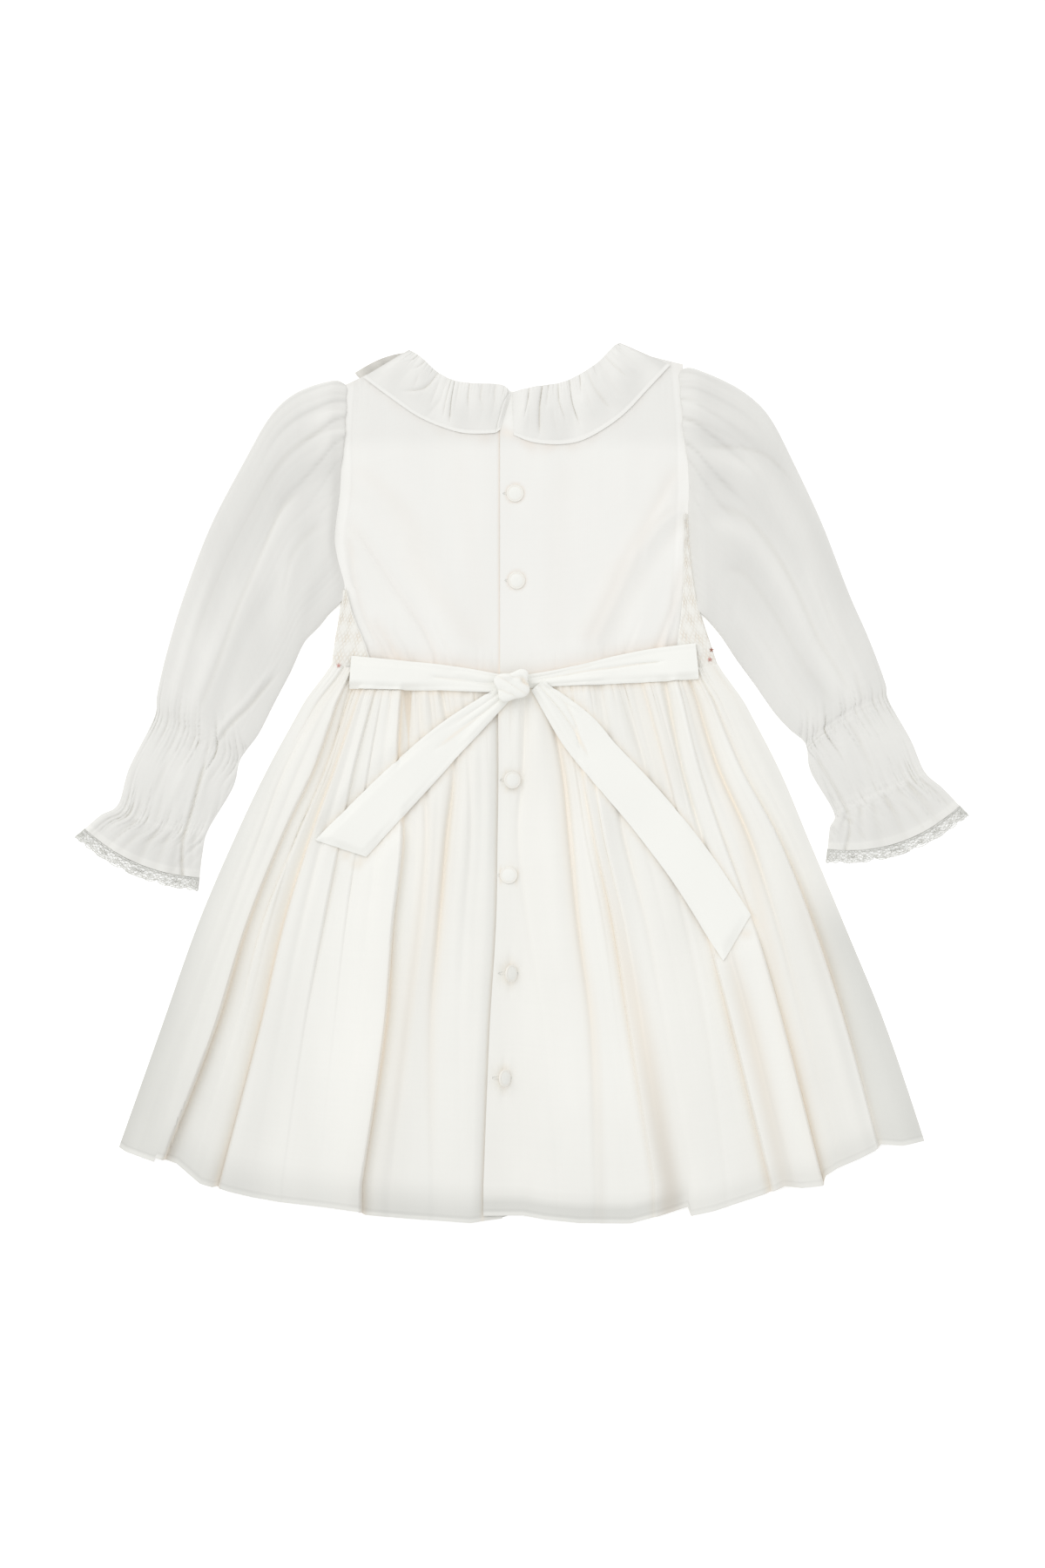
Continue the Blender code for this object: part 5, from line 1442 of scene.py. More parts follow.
def sleeve(side, look, trim):
    """A long sleeve from its puffed head to the frill below two lines of shirring."""
    node = f"sleeve_{NAMES[side]}"
    table = SLEEVES[side]
    lengths = sleeve_length(table)
    last = len(table) - 1

    def place(u, v):
        stop = last * v
        ring = row_at(table, stop)
        turn = sleeve_turn(u)
        share = (1 - np.cos(turn)) / 2
        upper = smooth_step(2.5 * np.sin(turn))
        crown = 0.15 + (SLEEVE_CROWN - 0.15) * smooth_step(stop / 2.2)
        x, y, z = ring_point(ring, turn, side, crown)
        wide = np.hypot(ring.inner_x - ring.outer_x, ring.inner_y - ring.outer_y)
        run = along(range(len(table)), lengths, stop)
        frill = np.clip((stop - SHIRRED_RINGS[-1]) / (last - SHIRRED_RINGS[-1]), 0.0, 1.0)
        at = SimpleNamespace(share=share, stop=stop, run=run, wide=wide, frill=frill, lengths=lengths)

        head = HEAD_ROUND * share
        puff = before(share, 0.24, 0.24)
        creased = head_creases(side, at)
        drawn, puckers = shirring(at)
        rise = 0.3 * creased + puff * bump(run - 9, 9) + drawn + frill_relief(side, at)
        rise += hung(valleys, HEAD_GATHERS, head, run) * (0.12 + 0.88 * puff)
        rise += hung(valleys, SLEEVE_CREASES, head, run) * (1 - frill)
        rise += tracked(SLEEVE_TRACKS[side], SLEEVE_FADE, stop, share, wide, edges=(last,))
        z = np.maximum(z + rise * upper, 1.6 * upper)
        z = z - SEAT_DROP * upper * bump(run, 3.0)
        z = z - HEAD_DROP * upper * (0.6 + 0.4 * puff) * bump(run - 4.5, 4.5)

        hold = np.maximum(0.0, 1 - stop / ARMHOLE_RINGS) ** 2
        line = ring.outer_x + (ring.inner_x - ring.outer_x) * share
        x = x + hold * (read(ARMHOLES[side], "y", "x", y) - SEAM_TUCK * side - line)
        lean = OVERHANG * bump(run - 4.5, 3.6) * puff * (0.93 + 0.07 * np.sin(head * 0.43 + 1.0))
        tuck = ARMPIT_TUCK * past(share, 0.7, 0.3) * before(stop, 0.5, 0.9)
        x = x - side * (lean * upper + tuck)
        from_hem = lengths[-1] - run
        z = z + (0.3 * lean + hem_relief(from_hem, share * wide, CUFF_HEM)) * upper

        # Painted highlight along the shirring's puckers; lighter from the shirring down, darker over the
        # frill.
        shade = puckers + 0.25 * past(stop, 8.5, 1.5) - 0.3 * smooth_step(frill / 0.3)
        # Painted shade in the head's creases and a painted highlight on its puff.
        shade += 0.35 * creased + 0.25 * bump(run - 6, 4.0) * puff
        shade += tracked(SLEEVE_SHADES[side], SLEEVE_SHADE_FADE, stop, share, wide)
        # Painted warm shade in the sleeve's creases.
        tones = {
            "hollow": hollow_of(z, 5, closed=True) * upper,
            "lined": 0.45 * smooth_step((CUFF_HEM + 0.5 - from_hem) / 0.8),
            "shade": shade * upper,
        }
        return x, y, z, (PANELS[node].wide * u, run), tones

    lay_cloth(node, look, place, grow=-1.0, tube=True)


# Lace


def thread(bm, points, half):
    """A thread of four sides along a line of points, as strokes of thread do for lace and stitches."""
    rings = []
    for index, point in enumerate(points):
        ahead = points[min(index + 1, len(points) - 1)]
        behind = points[max(index - 1, 0)]
        run = (ahead - behind).normalized()
        across = run.cross(Vector((0, 0, 1)))
        across = across.normalized() if across.length > 1e-6 else Vector((1, 0, 0))
        up = across.cross(run)
        rings.append([bm.verts.new((point + corner * half) * MM) for corner in (across, up, -across, -up)])
    for ring, after in zip(rings, rings[1:]):
        for corner in range(4):
            following = (corner + 1) % 4
            bm.faces.new((ring[corner], ring[following], after[following], after[corner]))
    bm.faces.new(rings[0][::-1])
    bm.faces.new(rings[-1])


def thread_piece(name, lines, look):
    """One mesh of all the threads, each a line of points with its half width."""
    bm = bmesh.new()
    for points, half in lines:
        thread(bm, [Vector(point) for point in points], half)
    bmesh.ops.recalc_face_normals(bm, faces=bm.faces)
    mesh = bpy.data.meshes.new(name)
    bm.to_mesh(mesh)
    bm.free()
    mesh.shade_smooth()
    piece = bpy.data.objects.new(name, mesh)
    bpy.context.scene.collection.objects.link(piece)
    mesh.materials.append(look)
    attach(piece, "root")
    return piece


def scallop(u):
    """The lace's width at u, a share of the way round the cuff."""
    phase = abs(math.sin(math.pi * (u * SCALLOPS)))
    return LACE_FALL - SCALLOP_DEPTH * 1.6 * (1 - phase**0.7)


def lace(side, look):
    """Bobbin lace: a crossed net between two cords, with flowers and picots in its scallops."""
    above, hem = SLEEVES[side][-2:]
    outer = Vector((hem.outer_x - above.outer_x, hem.outer_y - above.outer_y)).normalized()
    inner = Vector((hem.inner_x - above.inner_x, hem.inner_y - above.inner_y)).normalized()
    around = 2 * math.hypot(hem.inner_x - hem.outer_x, hem.inner_y - hem.outer_y)

    def spot(u, v, lift=0.0):
        """A point on the lace, u round the cuff and v down from its hem, in millimetres."""
        fall = 0.2 + v
        ring = Ring(
            hem.outer_x + outer.x * fall,
            hem.outer_y + outer.y * fall,
            hem.inner_x + inner.x * fall,
            hem.inner_y + inner.y * fall,
            hem.bow + REST,
            hem.height - LACE_TAPER * v / LACE_FALL,
        )
        turn = float(sleeve_turn(u % 1.0))
        x, y, z = ring_point(ring, turn, side)
        wave = 0.8 * frill_wave((1 - math.cos(turn)) / 2)
        upper = float(smooth_step(2.5 * math.sin(turn)))
        return x, y, max(0.3, z + (wave - 0.6) * upper) + lift

    lines = []
    count = int(around / LACE_PITCH)
    for start in range(count):
        for way in (-1, 1):
            net = []
            for step in range(7):
                v = step / 6 * (LACE_FALL - 1.0)
                u = start / count + way * NET_SLANT / around * v / LACE_FALL
                if v > scallop(u) - 0.4:
                    break
                net.append(spot(u, v, 0.1 * way))
            if len(net) > 1:
                lines.append((net, LACE_THREAD))
    shares = [step / (SCALLOPS * 14) for step in range(SCALLOPS * 14 + 1)]
    for level, half in ((0.0, LACE_CORD), (1.3, LACE_FINE_CORD)):
        lines.append(([spot(u, level) for u in shares], half))
    for inset, half in ((0.0, LACE_CORD), (1.1, LACE_FINE_CORD)):
        lines.append(([spot(u, scallop(u) - inset) for u in shares], half))
    for index in range(SCALLOPS):
        middle = (index + 0.5) / SCALLOPS
        for petal in range(6):
            angle = math.tau * petal / 6
            tip = (middle + 1.5 * math.sin(angle) / around, LACE_FALL * 0.52 + 1.5 * math.cos(angle))
            lines.append(([spot(middle, LACE_FALL * 0.52, 0.2), spot(*tip, 0.25)], LACE_PETAL))
    for index in range(SCALLOPS * 6):
        u = (index + 0.5) / (SCALLOPS * 6)
        lines.append(([spot(u, scallop(u)), spot(u, scallop(u) + 0.8)], LACE_PICOT))
    node = f"lace_{NAMES[side]}"
    piece = thread_piece(node + "_threads", lines, look)
    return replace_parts(piece, node)


# Collar


def collar_creases(creases, u, v, length):
    """The pleats that fall from the neckline, each along its own track; above nought a ridge."""
    total = np.zeros(u.shape)
    for crease in creases:
        off = (u - along(crease.stops, crease.places, v)) * length
        width = crease.half * (1 + 0.5 * v)
        fade = ends(v, crease.stops, COLLAR_FADE, edges=(0,))
        total += crease.rise * fade * np.exp(-np.abs(off / width) ** 1.6)
    return total


def pleat_wave(side, u, v):
    """The soft rounds that a half of the ruffle falls in between its pleats."""
    marks = np.array([0.0, *COLLAR_PLEATS[side], 1.0])
    pleat = np.clip(np.searchsorted(marks, u, side="right") - 1, 0, len(marks) - 2)
    wide = marks[pleat + 1] - marks[pleat]
    through = (u - marks[pleat]) / wide
    soft = (1 - 0.6 * u) * np.minimum(1.0, wide / COLLAR_PLEAT)
    arch = np.abs(np.sin(np.pi * through)) ** (0.6 + 0.5 * v)
    return 0.35 * COLLAR_WAVE * soft * arch * (0.35 + 0.65 * np.sin(np.pi * np.maximum(v, 1e-6) ** 0.7))


def collar_back(side, below, look):
    """A half of the ruffle on the back, from the centre back to the fold over the shoulder."""
    node = f"collar_{NAMES[side]}"
    panel = PANELS[node]
    neck = COLLAR_NECKS[side]
    edge = COLLAR_EDGES[side]

    def place(u, v):
        inner = row_at(neck, u * (len(neck) - 1))
        outer = row_at(edge, u * (len(edge) - 1))
        x = inner.x + (outer.x - inner.x) * v
        y = inner.y + (outer.y - inner.y) * v
        stand = COLLAR_STAND + 4 * COLLAR_SWELL * v * (1 - v)
        stand = stand + pleat_wave(side, u, v)
        stand = stand + hung(valleys, COLLAR_GATHERS, u * panel.wide, v * COLLAR_WIDTH)
        closing = 0.25 + 0.75 * smooth_step((1 - u) / COLLAR_FOLD)
        settled = (1 - 0.85 * past(v, 0.35, 0.65)) * (0.06 + 0.94 * smooth_step(u / 0.1))
        high = below.floor(x, y, (6, 8), COLLAR_REACH, COLLAR_FOOT)
        near_floor = below.floor(x, y, (3, 4), 1.2, COLLAR_FOOT)
        floor = near_floor + (np.maximum(high, near_floor) - near_floor) * settled + 0.5 * REST
        from_edge = (1 - v) * COLLAR_WIDTH
        hem = smooth_step((COLLAR_HEM + 0.3 - from_edge) / 0.6)
        stitch = 0.2 * bump(from_edge - COLLAR_HEM, 0.4)
        pleat = collar_creases(COLLAR_CREASES[side], u, v, panel.wide * (0.72 + 0.28 * v))
        z = floor + stand * closing * settled + 0.15 * (1 - settled) + pleat * closing
        z = np.maximum(z, floor) + 0.3 * hem - stitch - LAWN_WALL
        turned = past(u, 0.93, 0.05)
        soft = np.sin(3.1 * u * panel.wide / 20 + 1.2 * v) * np.sin(2.2 * v + 0.05 * u * panel.wide)
        # Painted warm shade in the pleats; the doubled hem lighter, darker where the collar turns over the
        # shoulder, and soft lighter and darker patches over the rest.
        tones = {
            "hollow": np.clip(hollow_of(z, 5) - 0.1 * hem, 0, 1),
            "lined": np.maximum(0.45 * hem, 0.35 * (1 - turned)),
            "shade": 0.25 * hem - 0.6 * turned * (1 - v) + 0.3 * soft * (1 - hem) + 0.15,
        }
        return x, y, z, (panel.wide * u, panel.long * v), tones

    lay_cloth(node, look, place)


def collar_front(look):
    """The stretch of the ruffle on the front, flat under the bodice, from one shoulder to the other."""
    panel = PANELS["collar_front"]
    start = math.radians(181)
    end = math.radians(359)

    def place(u, v):
        turn = start + (end - start) * u
        out = np.cos(turn)
        reach = COLLAR_WIDTH * v * (1 + (FLAP_REACH - 1) * before(u, 0, 0.03))
        bulge = 2.6 * np.sin(math.pi * v) * before(u, 0, 0.12)
        x = CENTRE_X + (NECK_RADIUS + reach) * out
        y = NECK_Y + NECK_TILT * out + (FRONT_NECK_DROP + COLLAR_WIDTH * v) * np.sin(turn)
        y = y + bulge - SHOULDER_DROP * v * np.abs(out) ** 6
        z = 0.25 * (1 - np.cos(math.tau * FRONT_PLEATS * u)) * (1 - 0.4 * v)
        z = z + 0.3 * bump((1 - v) * COLLAR_WIDTH - 0.7, 0.9)
        flap = before(u, 0.05, 0.05)
        hem = past(v, 0.91, 0.02)
        # The flap at the left shoulder is darker: a single layer, with painted shade.
        dark = flap * (1 - 0.6 * hem) * (0.7 + 0.3 * np.sin(24 * v + 2))
        tones = {"hollow": 0.35 * flap, "lined": 0.4 * hem, "shade": -1.3 * dark}
        return x, y, z, (panel.wide * u, panel.long * v), tones

    lay_cloth("collar_front", look, place, wall=THIN_WALL)


# Sash


def sash_point(table, u, v, slant):
    """Where a point of a sash's stretch lies, u along it and v across it, and the stretch's width there."""
    last = len(table) - 1
    here = row_at(table, u * last)
    ahead = row_at(table, u * last + 0.05)
    behind = row_at(table, u * last - 0.05)
    run_across = ahead.x - behind.x
    run_up = ahead.y - behind.y
    length = np.hypot(run_across, run_up)
    run_across = run_across / length
    run_up = run_up / length
    off = (v - 0.5) * here.width
    push = slant * (v - 0.5) * np.maximum(0.0, 4 * u - 3)
    return here.x - run_up * off + run_across * push, here.y + run_across * off + run_up * push, here.width


def sash(node, below, look):
    """A stretch of the sash, along the run of its middle, laid on what is below it."""
    length = PANELS[node].wide
    free_end = "tail" in node

    def place(u, v):
        x, y, width = sash_point(SASH_RUNS[node], u, v, TAIL_SLANT if free_end else 0.0)
        edge = np.minimum(v, 1 - v) * width
        if free_end:
            edge = np.minimum(edge, (1 - u) * length)
        high = below.floor(x, y, (9, 10), 0.5 * SASH_REACH, SASH_BARE, bridged=2)
        near_floor = below.floor(x, y, (3, 3), 0.8, SASH_BARE)
        floor = high + (np.minimum(near_floor, high) - high) * 0.9 * before(edge, 0, 5.5) + 0.05
        relief = 0.3 * bump((v - 0.05) * width, 1.0) + 0.3 * bump((v - 0.95) * width, 1.0)
        relief += 0.25 * np.sin(9 * u + 2.2 * v) + 0.15 * np.sin(17 * u - 3 * v + 1)
        relief += tracked(SASH_CREASES[node], SASH_FADE, u, v, width)
        z = floor + np.maximum(relief, -1.2) + 0.5 * (SASH_WALL - SASH_CLOTH_WALL)
        z = np.maximum(z - 0.3 * before(edge, 0, 1.1), near_floor + 0.03)
        # Painted warm shade in the sash's creases.
        tones = {"hollow": np.clip((-relief - 0.5) / 2.4, 0, 1), "lined": 1 + 0 * z}
        return x, y, z, (length * u, 30 * v), tones

    lay_cloth(node, look, place, wall=SASH_CLOTH_WALL)


def knot(look):
    """The wrap of the knot, a rounded turn of the sash with the creases that it is drawn into."""
    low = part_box("sash_knot")[0]
    bpy.ops.object.select_all(action="DESELECT")
    bpy.ops.mesh.primitive_uv_sphere_add(segments=96, ring_count=56, radius=0.5)
    piece = bpy.context.object
    piece.name = "sash_knot_wrap"
    mesh = piece.data
    across, up, level = points_of(mesh).T
    width, depth, height = KNOT_SIZE
    swirl = across * 1.15 + up * 0.55
    folds = 0.09 * np.abs(np.sin(7.0 * swirl + 0.9 * np.sin(4 * up) + 0.5 * np.sin(9 * across))) ** 0.7
    nub = 0.22 * bump(np.hypot((across + 0.05) / 0.17, (up - 0.38) / 0.14), 1.0)
    cleft = -0.26 * bump(across * 0.86 + up * 0.5 - 0.30, 0.05) * smooth_step((0.25 - up) / 0.3)
    swell = 1 + 0.05 * np.sin(3 * np.arctan2(up, across) + 0.6)
    swell = swell * (1 - 0.14 * np.cos(4 * np.arctan2(up, across) + 0.5))
    round_z = np.sign(level) * 0.5 * np.abs(2 * level) ** 0.6 * 0.86
    z = np.maximum(round_z, -KNOT_FLAT) + (folds + nub + cleft - 0.05) * past(level, -KNOT_FLAT, 0.25)
    x = across * width * swell
    y = up * depth * swell
    turn = math.radians(KNOT_TURN)
    points = np.stack(
        [
            KNOT_AT[0] + x * math.cos(turn) - y * math.sin(turn),
            KNOT_AT[1] + x * math.sin(turn) + y * math.cos(turn),
            low[2] / MM + (z + KNOT_FLAT) * height,
        ],
        axis=-1,
    )
    mesh.vertices.foreach_set("co", (points * MM).ravel())
    # Painted warm shade in the wrap's folds and its cleft.
    hollow = np.clip(-(folds - 0.04) * 9, 0, 0.35) + np.clip(-cleft * 3, 0, 0.8)
    set_tones(mesh, {"hollow": hollow, "lined": 1 + 0 * z})
    mesh.update()
    mesh.shade_smooth()
    return dress(piece, look, "sash_knot")


# Buttons


def covered_button():
    """A cloth-covered dome over a rolled rim, drawn up ring by ring from its flat back."""
    bpy.ops.object.select_all(action="DESELECT")
    bpy.ops.mesh.primitive_circle_add(vertices=40, radius=BUTTON_BACK * MM, fill_type="NGON")
    piece = bpy.context.object
    bpy.ops.object.mode_set(mode="EDIT")
    bpy.ops.mesh.select_all(action="SELECT")
    at = (BUTTON_BACK, 0.0)
    for out, up in BUTTON_RINGS:
        bpy.ops.mesh.extrude_region_move(TRANSFORM_OT_translate={"value": (0, 0, (up - at[1]) * MM)})
        bpy.ops.transform.resize(value=(out / at[0], out / at[0], 1))
        at = (out, up)
    bpy.ops.mesh.poke()
    bpy.ops.mesh.select_all(action="SELECT")
    bpy.ops.mesh.normals_make_consistent(inside=False)
    bpy.ops.object.mode_set(mode="OBJECT")
    bpy.ops.object.modifier_add(type="SUBSURF")
    rounded = piece.modifiers[-1]
    rounded.levels = 1
    rounded.render_levels = 1
    bpy.ops.object.modifier_apply(modifier=rounded.name)
    bpy.ops.object.shade_smooth()
    out = np.hypot(*points_of(piece.data).T[:2]) / MM
    # Painted shade in the groove of the rolled rim and round its outer edge.
    set_tones(piece.data, {"hollow": 0.4 * bump(out - 4.5, 0.4) + 0.4 * past(out, 5.0, 0.5)})
    return piece


def buttons(below, look):
    """Six covered buttons down the placket, each at its own place and lean, seated in the cloth."""
    pattern = covered_button()
    for number, spot in enumerate(BUTTONS, start=1):
        node = f"button_{number}"
        piece = pattern.copy()
        piece.data = pattern.data.copy()
        piece.name = f"{node}_covered"
        bpy.context.scene.collection.objects.link(piece)
        piece.data.transform(Matrix.Rotation(math.radians(spot.lean), 4, "Y"))
        lowest = min(vertex.co.z for vertex in piece.data.vertices)
        seat = below.height(spot.x, spot.y, 3.0, 0.0) - BUTTON_SEAT
        piece.data.transform(Matrix.Translation((spot.x * MM, spot.y * MM, seat * MM - lowest)))
        dress(piece, look, node)
    bpy.data.objects.remove(pattern, do_unlink=True)


# Stitches


def buttonholes(below, look):
    """A worked buttonhole beside each button: close stitches round a slit."""
    lines = []
    for spot in BUTTONS:
        for step in range(HOLE_STITCHES):
            angle = math.tau * step / HOLE_STITCHES
            stitch = []
            for long, wide in ((HOLE_HALF, 0.7), (HOLE_HALF + 0.7, 1.5)):
                x = spot.x - HOLE_SHIFT + long * math.cos(angle)
                y = spot.y + wide * math.sin(angle)
                stitch.append((x, y, below.height(x, y, 0.0, 0.0) + 0.06))
            lines.append((stitch, STITCH_THREAD))
    thread_piece("buttonhole_stitches", lines, look)


def flowers(name, spots, below, look):
    """Tiny five-petalled flowers embroidered on the smocked sides."""
    lines = []
    for x, y in spots:
        level = below.height(x, y, 1.5, 4.0)
        for petal in range(5):
            angle = math.tau * petal / 5 + 0.3
            line = [(x, y, level + 0.1)]
            for reach, lift in ((0.7, 0.45), (1.3, 0.05)):
                line.append((x + reach * math.cos(angle), y + reach * math.sin(angle), level + lift))
            lines.append((line, PETAL_THREAD))
    thread_piece(name, lines, look)


# Materials


def put(tree, socket, value):
    """Links a value to a socket, or sets it there where it is a number, a vector or a colour."""
    if isinstance(value, bpy.types.NodeSocket):
        tree.links.new(value, socket)
    elif isinstance(value, tuple) and socket.type == "RGBA" and len(value) == 3:
        socket.default_value = (*value, 1.0)
    else:
        socket.default_value = value


def shader_node(tree, kind, inputs=None, output=0):
    """A new shader node with its inputs put, as the socket that it gives out."""
    made = tree.nodes.new("ShaderNode" + kind)
    for label, value in (inputs or {}).items():
        put(tree, made.inputs[label], value)
    return made.outputs[output]


def maths(tree, operation, *values):
    made = tree.nodes.new("ShaderNodeMath")
    made.operation = operation
    for socket, value in zip(made.inputs, values):
        put(tree, socket, value)
    return made.outputs["Value"]


def mix_colour(tree, factor, first, second, blend="MIX"):
    made = tree.nodes.new("ShaderNodeMix")
    made.data_type = "RGBA"
    made.blend_type = blend
    for socket, value in zip([socket for socket in made.inputs if socket.enabled], (factor, first, second)):
        put(tree, socket, value)
    return next(socket for socket in made.outputs if socket.enabled)


def point_tone(tree, name):
    """One of the tones that the pieces' points carry."""
    made = tree.nodes.new("ShaderNodeAttribute")
    made.attribute_name = name
    return made.outputs["Fac"]


def group(name, inputs, outputs):
    """A shader node group with its named sockets."""
    made = bpy.data.node_groups.new(name, "ShaderNodeTree")
    for label, kind, default in inputs:
        made.interface.new_socket(name=label, in_out="INPUT", socket_type=kind).default_value = default
    for label, kind in outputs:
        made.interface.new_socket(name=label, in_out="OUTPUT", socket_type=kind)
    return made, made.nodes.new("NodeGroupInput").outputs, made.nodes.new("NodeGroupOutput").inputs


def streak_noise(tree, cut, close, far, detail):
    """Noise drawn out along the cut, once across it and once down it, added together."""
    crossed = []
    for scale in ((close, far, 1.0), (far, close, 1.0)):
        drawn = shader_node(tree, "Mapping", {"Vector": cut, "Scale": scale})
        noise = {"Vector": drawn, "Scale": 1.0, "Detail": detail}
        crossed.append(shader_node(tree, "TexNoise", noise, "Fac"))
    return maths(tree, "ADD", *crossed)


def weave_group():
    """Plain weave on a piece's cut: crossed threads, slubs along them and soft mottling."""
    made, given, out = group(
        "Weave",
        [("Thread", "NodeSocketFloat", 0.35), ("Slub", "NodeSocketFloat", 0.5)],
        [("Height", "NodeSocketFloat"), ("Shade", "NodeSocketFloat")],
    )
    cut = made.nodes.new("ShaderNodeUVMap")
    cut.uv_map = "UVMap"
    threads = streak_noise(made, cut.outputs["UV"], 1800.0, 40.0, 1.0)
    slubs = streak_noise(made, cut.outputs["UV"], 420.0, 9.0, 2.0)
    raised = maths(made, "MULTIPLY", threads, given["Thread"])
    raised = maths(made, "ADD", raised, maths(made, "MULTIPLY", slubs, given["Slub"]))
    put(made, out["Height"], raised)
    put(made, out["Shade"], maths(made, "MULTIPLY_ADD", slubs, 0.2, 0.3))


def tone_group():
    """The cloth's own colour, greyer where it is a single layer, with painted warm shade and a painted glow
    in its deep creases and the painted light and shade of the shade tone.
    """
    made, given, out = group(
        "Cloth tone",
        [
            ("Single", "NodeSocketColor", (0.7, 0.7, 0.66, 1)),
            ("Lined", "NodeSocketColor", (0.8, 0.8, 0.76, 1)),
            ("Hollow", "NodeSocketColor", (0.7, 0.55, 0.36, 1)),
            ("Mottle", "NodeSocketFloat", 0.06),
            ("Shade", "NodeSocketFloat", 0.5),
        ],
        [("Color", "NodeSocketColor"), ("Glow", "NodeSocketColor")],
    )
    hollow = point_tone(made, "hollow")
    place = shader_node(made, "TexCoord", output="Object")
    drawn = shader_node(made, "Mapping", {"Vector": place, "Scale": (1.0, 0.4, 1.0)})
    cloud = shader_node(made, "TexNoise", {"Vector": drawn, "Scale": 34.0, "Detail": 3.0}, "Fac")
    patchy = maths(made, "SUBTRACT", maths(made, "ADD", cloud, given["Shade"]), 1.0)
    dim = maths(made, "MULTIPLY_ADD", patchy, given["Mottle"], 1.0)
    # Painted light and shade: the shade tone lightens or darkens the colour.
    dim = maths(made, "MULTIPLY_ADD", point_tone(made, "shade"), SHADE_DEPTH, dim)
    base = mix_colour(made, point_tone(made, "lined"), given["Single"], given["Lined"])
    # Painted warm shade: the crease colour mixed in by the crease tone.
    base = mix_colour(made, maths(made, "MULTIPLY", hollow, 0.8), base, given["Hollow"])
    grey = shader_node(made, "CombineColor", {"Red": dim, "Green": dim, "Blue": dim})
    put(made, out["Color"], mix_colour(made, 1.0, base, grey, "MULTIPLY"))
    # Painted light: a glow in the deepest creases.
    deep = maths(made, "POWER", hollow, 1.9)
    put(made, out["Glow"], mix_colour(made, deep, (0.0, 0.0, 0.0), CREASE_GLOW_COLOUR))


def material(name, **inputs):
    """A new material, its tree, and its shader with the inputs set that it is given."""
    made = bpy.data.materials.new(name)
    made.use_nodes = True
    shader = made.node_tree.nodes["Principled BSDF"]
    for label, value in inputs.items():
        put(made.node_tree, shader.inputs[label.replace("_", " ")], value)
    return made, made.node_tree, shader.inputs


def placed(tree, name, **inputs):
    """A node group placed in a material with its own values."""
    made = tree.nodes.new("ShaderNodeGroup")
    made.node_tree = bpy.data.node_groups[name]
    for label, value in inputs.items():
        put(tree, made.inputs[label], value)
    return made.outputs


def cloth_look(name, single, lined, hollow, mottle, glow=0.13, thread=0.35, sheen=0.15):
    """A matt cotton with its weave, and a painted glow in its creases that stands in for light coming through
    the thin cloth.
    """
    made, tree, shader = material(
        name,
        Roughness=0.92,
        Specular_IOR_Level=0.2,
        Emission_Strength=glow,
        Sheen_Weight=sheen,
        Sheen_Roughness=0.6,
    )
    weave = placed(tree, "Weave", Thread=thread, Slub=0.4)
    cloth = placed(
        tree, "Cloth tone", Single=single, Lined=lined, Hollow=hollow, Mottle=mottle, Shade=weave["Shade"]
    )
    put(tree, shader["Base Color"], cloth["Color"])
    put(tree, shader["Emission Color"], cloth["Glow"])
    relief = {"Strength": 0.5, "Distance": 0.00012, "Height": weave["Height"]}
    put(tree, shader["Normal"], shader_node(tree, "Bump", relief))
    return made


def thread_look(name, colour):
    """Twisted cotton thread."""
    made, tree, shader = material(name, Roughness=0.75, Specular_IOR_Level=0.3)
    place = shader_node(tree, "TexCoord", output="Object")
    noise = shader_node(tree, "TexNoise", {"Vector": place, "Scale": 900.0}, "Fac")
    dark = tuple(0.86 * part for part in colour)
    put(tree, shader["Base Color"], mix_colour(tree, noise, dark, colour))
    relief = {"Strength": 0.4, "Distance": 0.0001, "Height": noise}
    put(tree, shader["Normal"], shader_node(tree, "Bump", relief))
    return made


def look(name):
    """One of the dress's materials, made the first time it is asked for."""
    if name in bpy.data.materials:
        return bpy.data.materials[name]
    if "Weave" not in bpy.data.node_groups:
        weave_group()
        tone_group()
    cloth = bpy.context.scene.dress_cloth
    if name in THREADS:
        return thread_look(name, tuple(getattr(cloth, THREADS[name] + "_colour")))
    single, lined, hollow, mottle, finish = LAWNS[name]
    colours = [tuple(getattr(cloth, part + "_colour")) for part in (single, lined, hollow)]
    return cloth_look(name, *colours, mottle * cloth.mottle, **finish)


# Stage


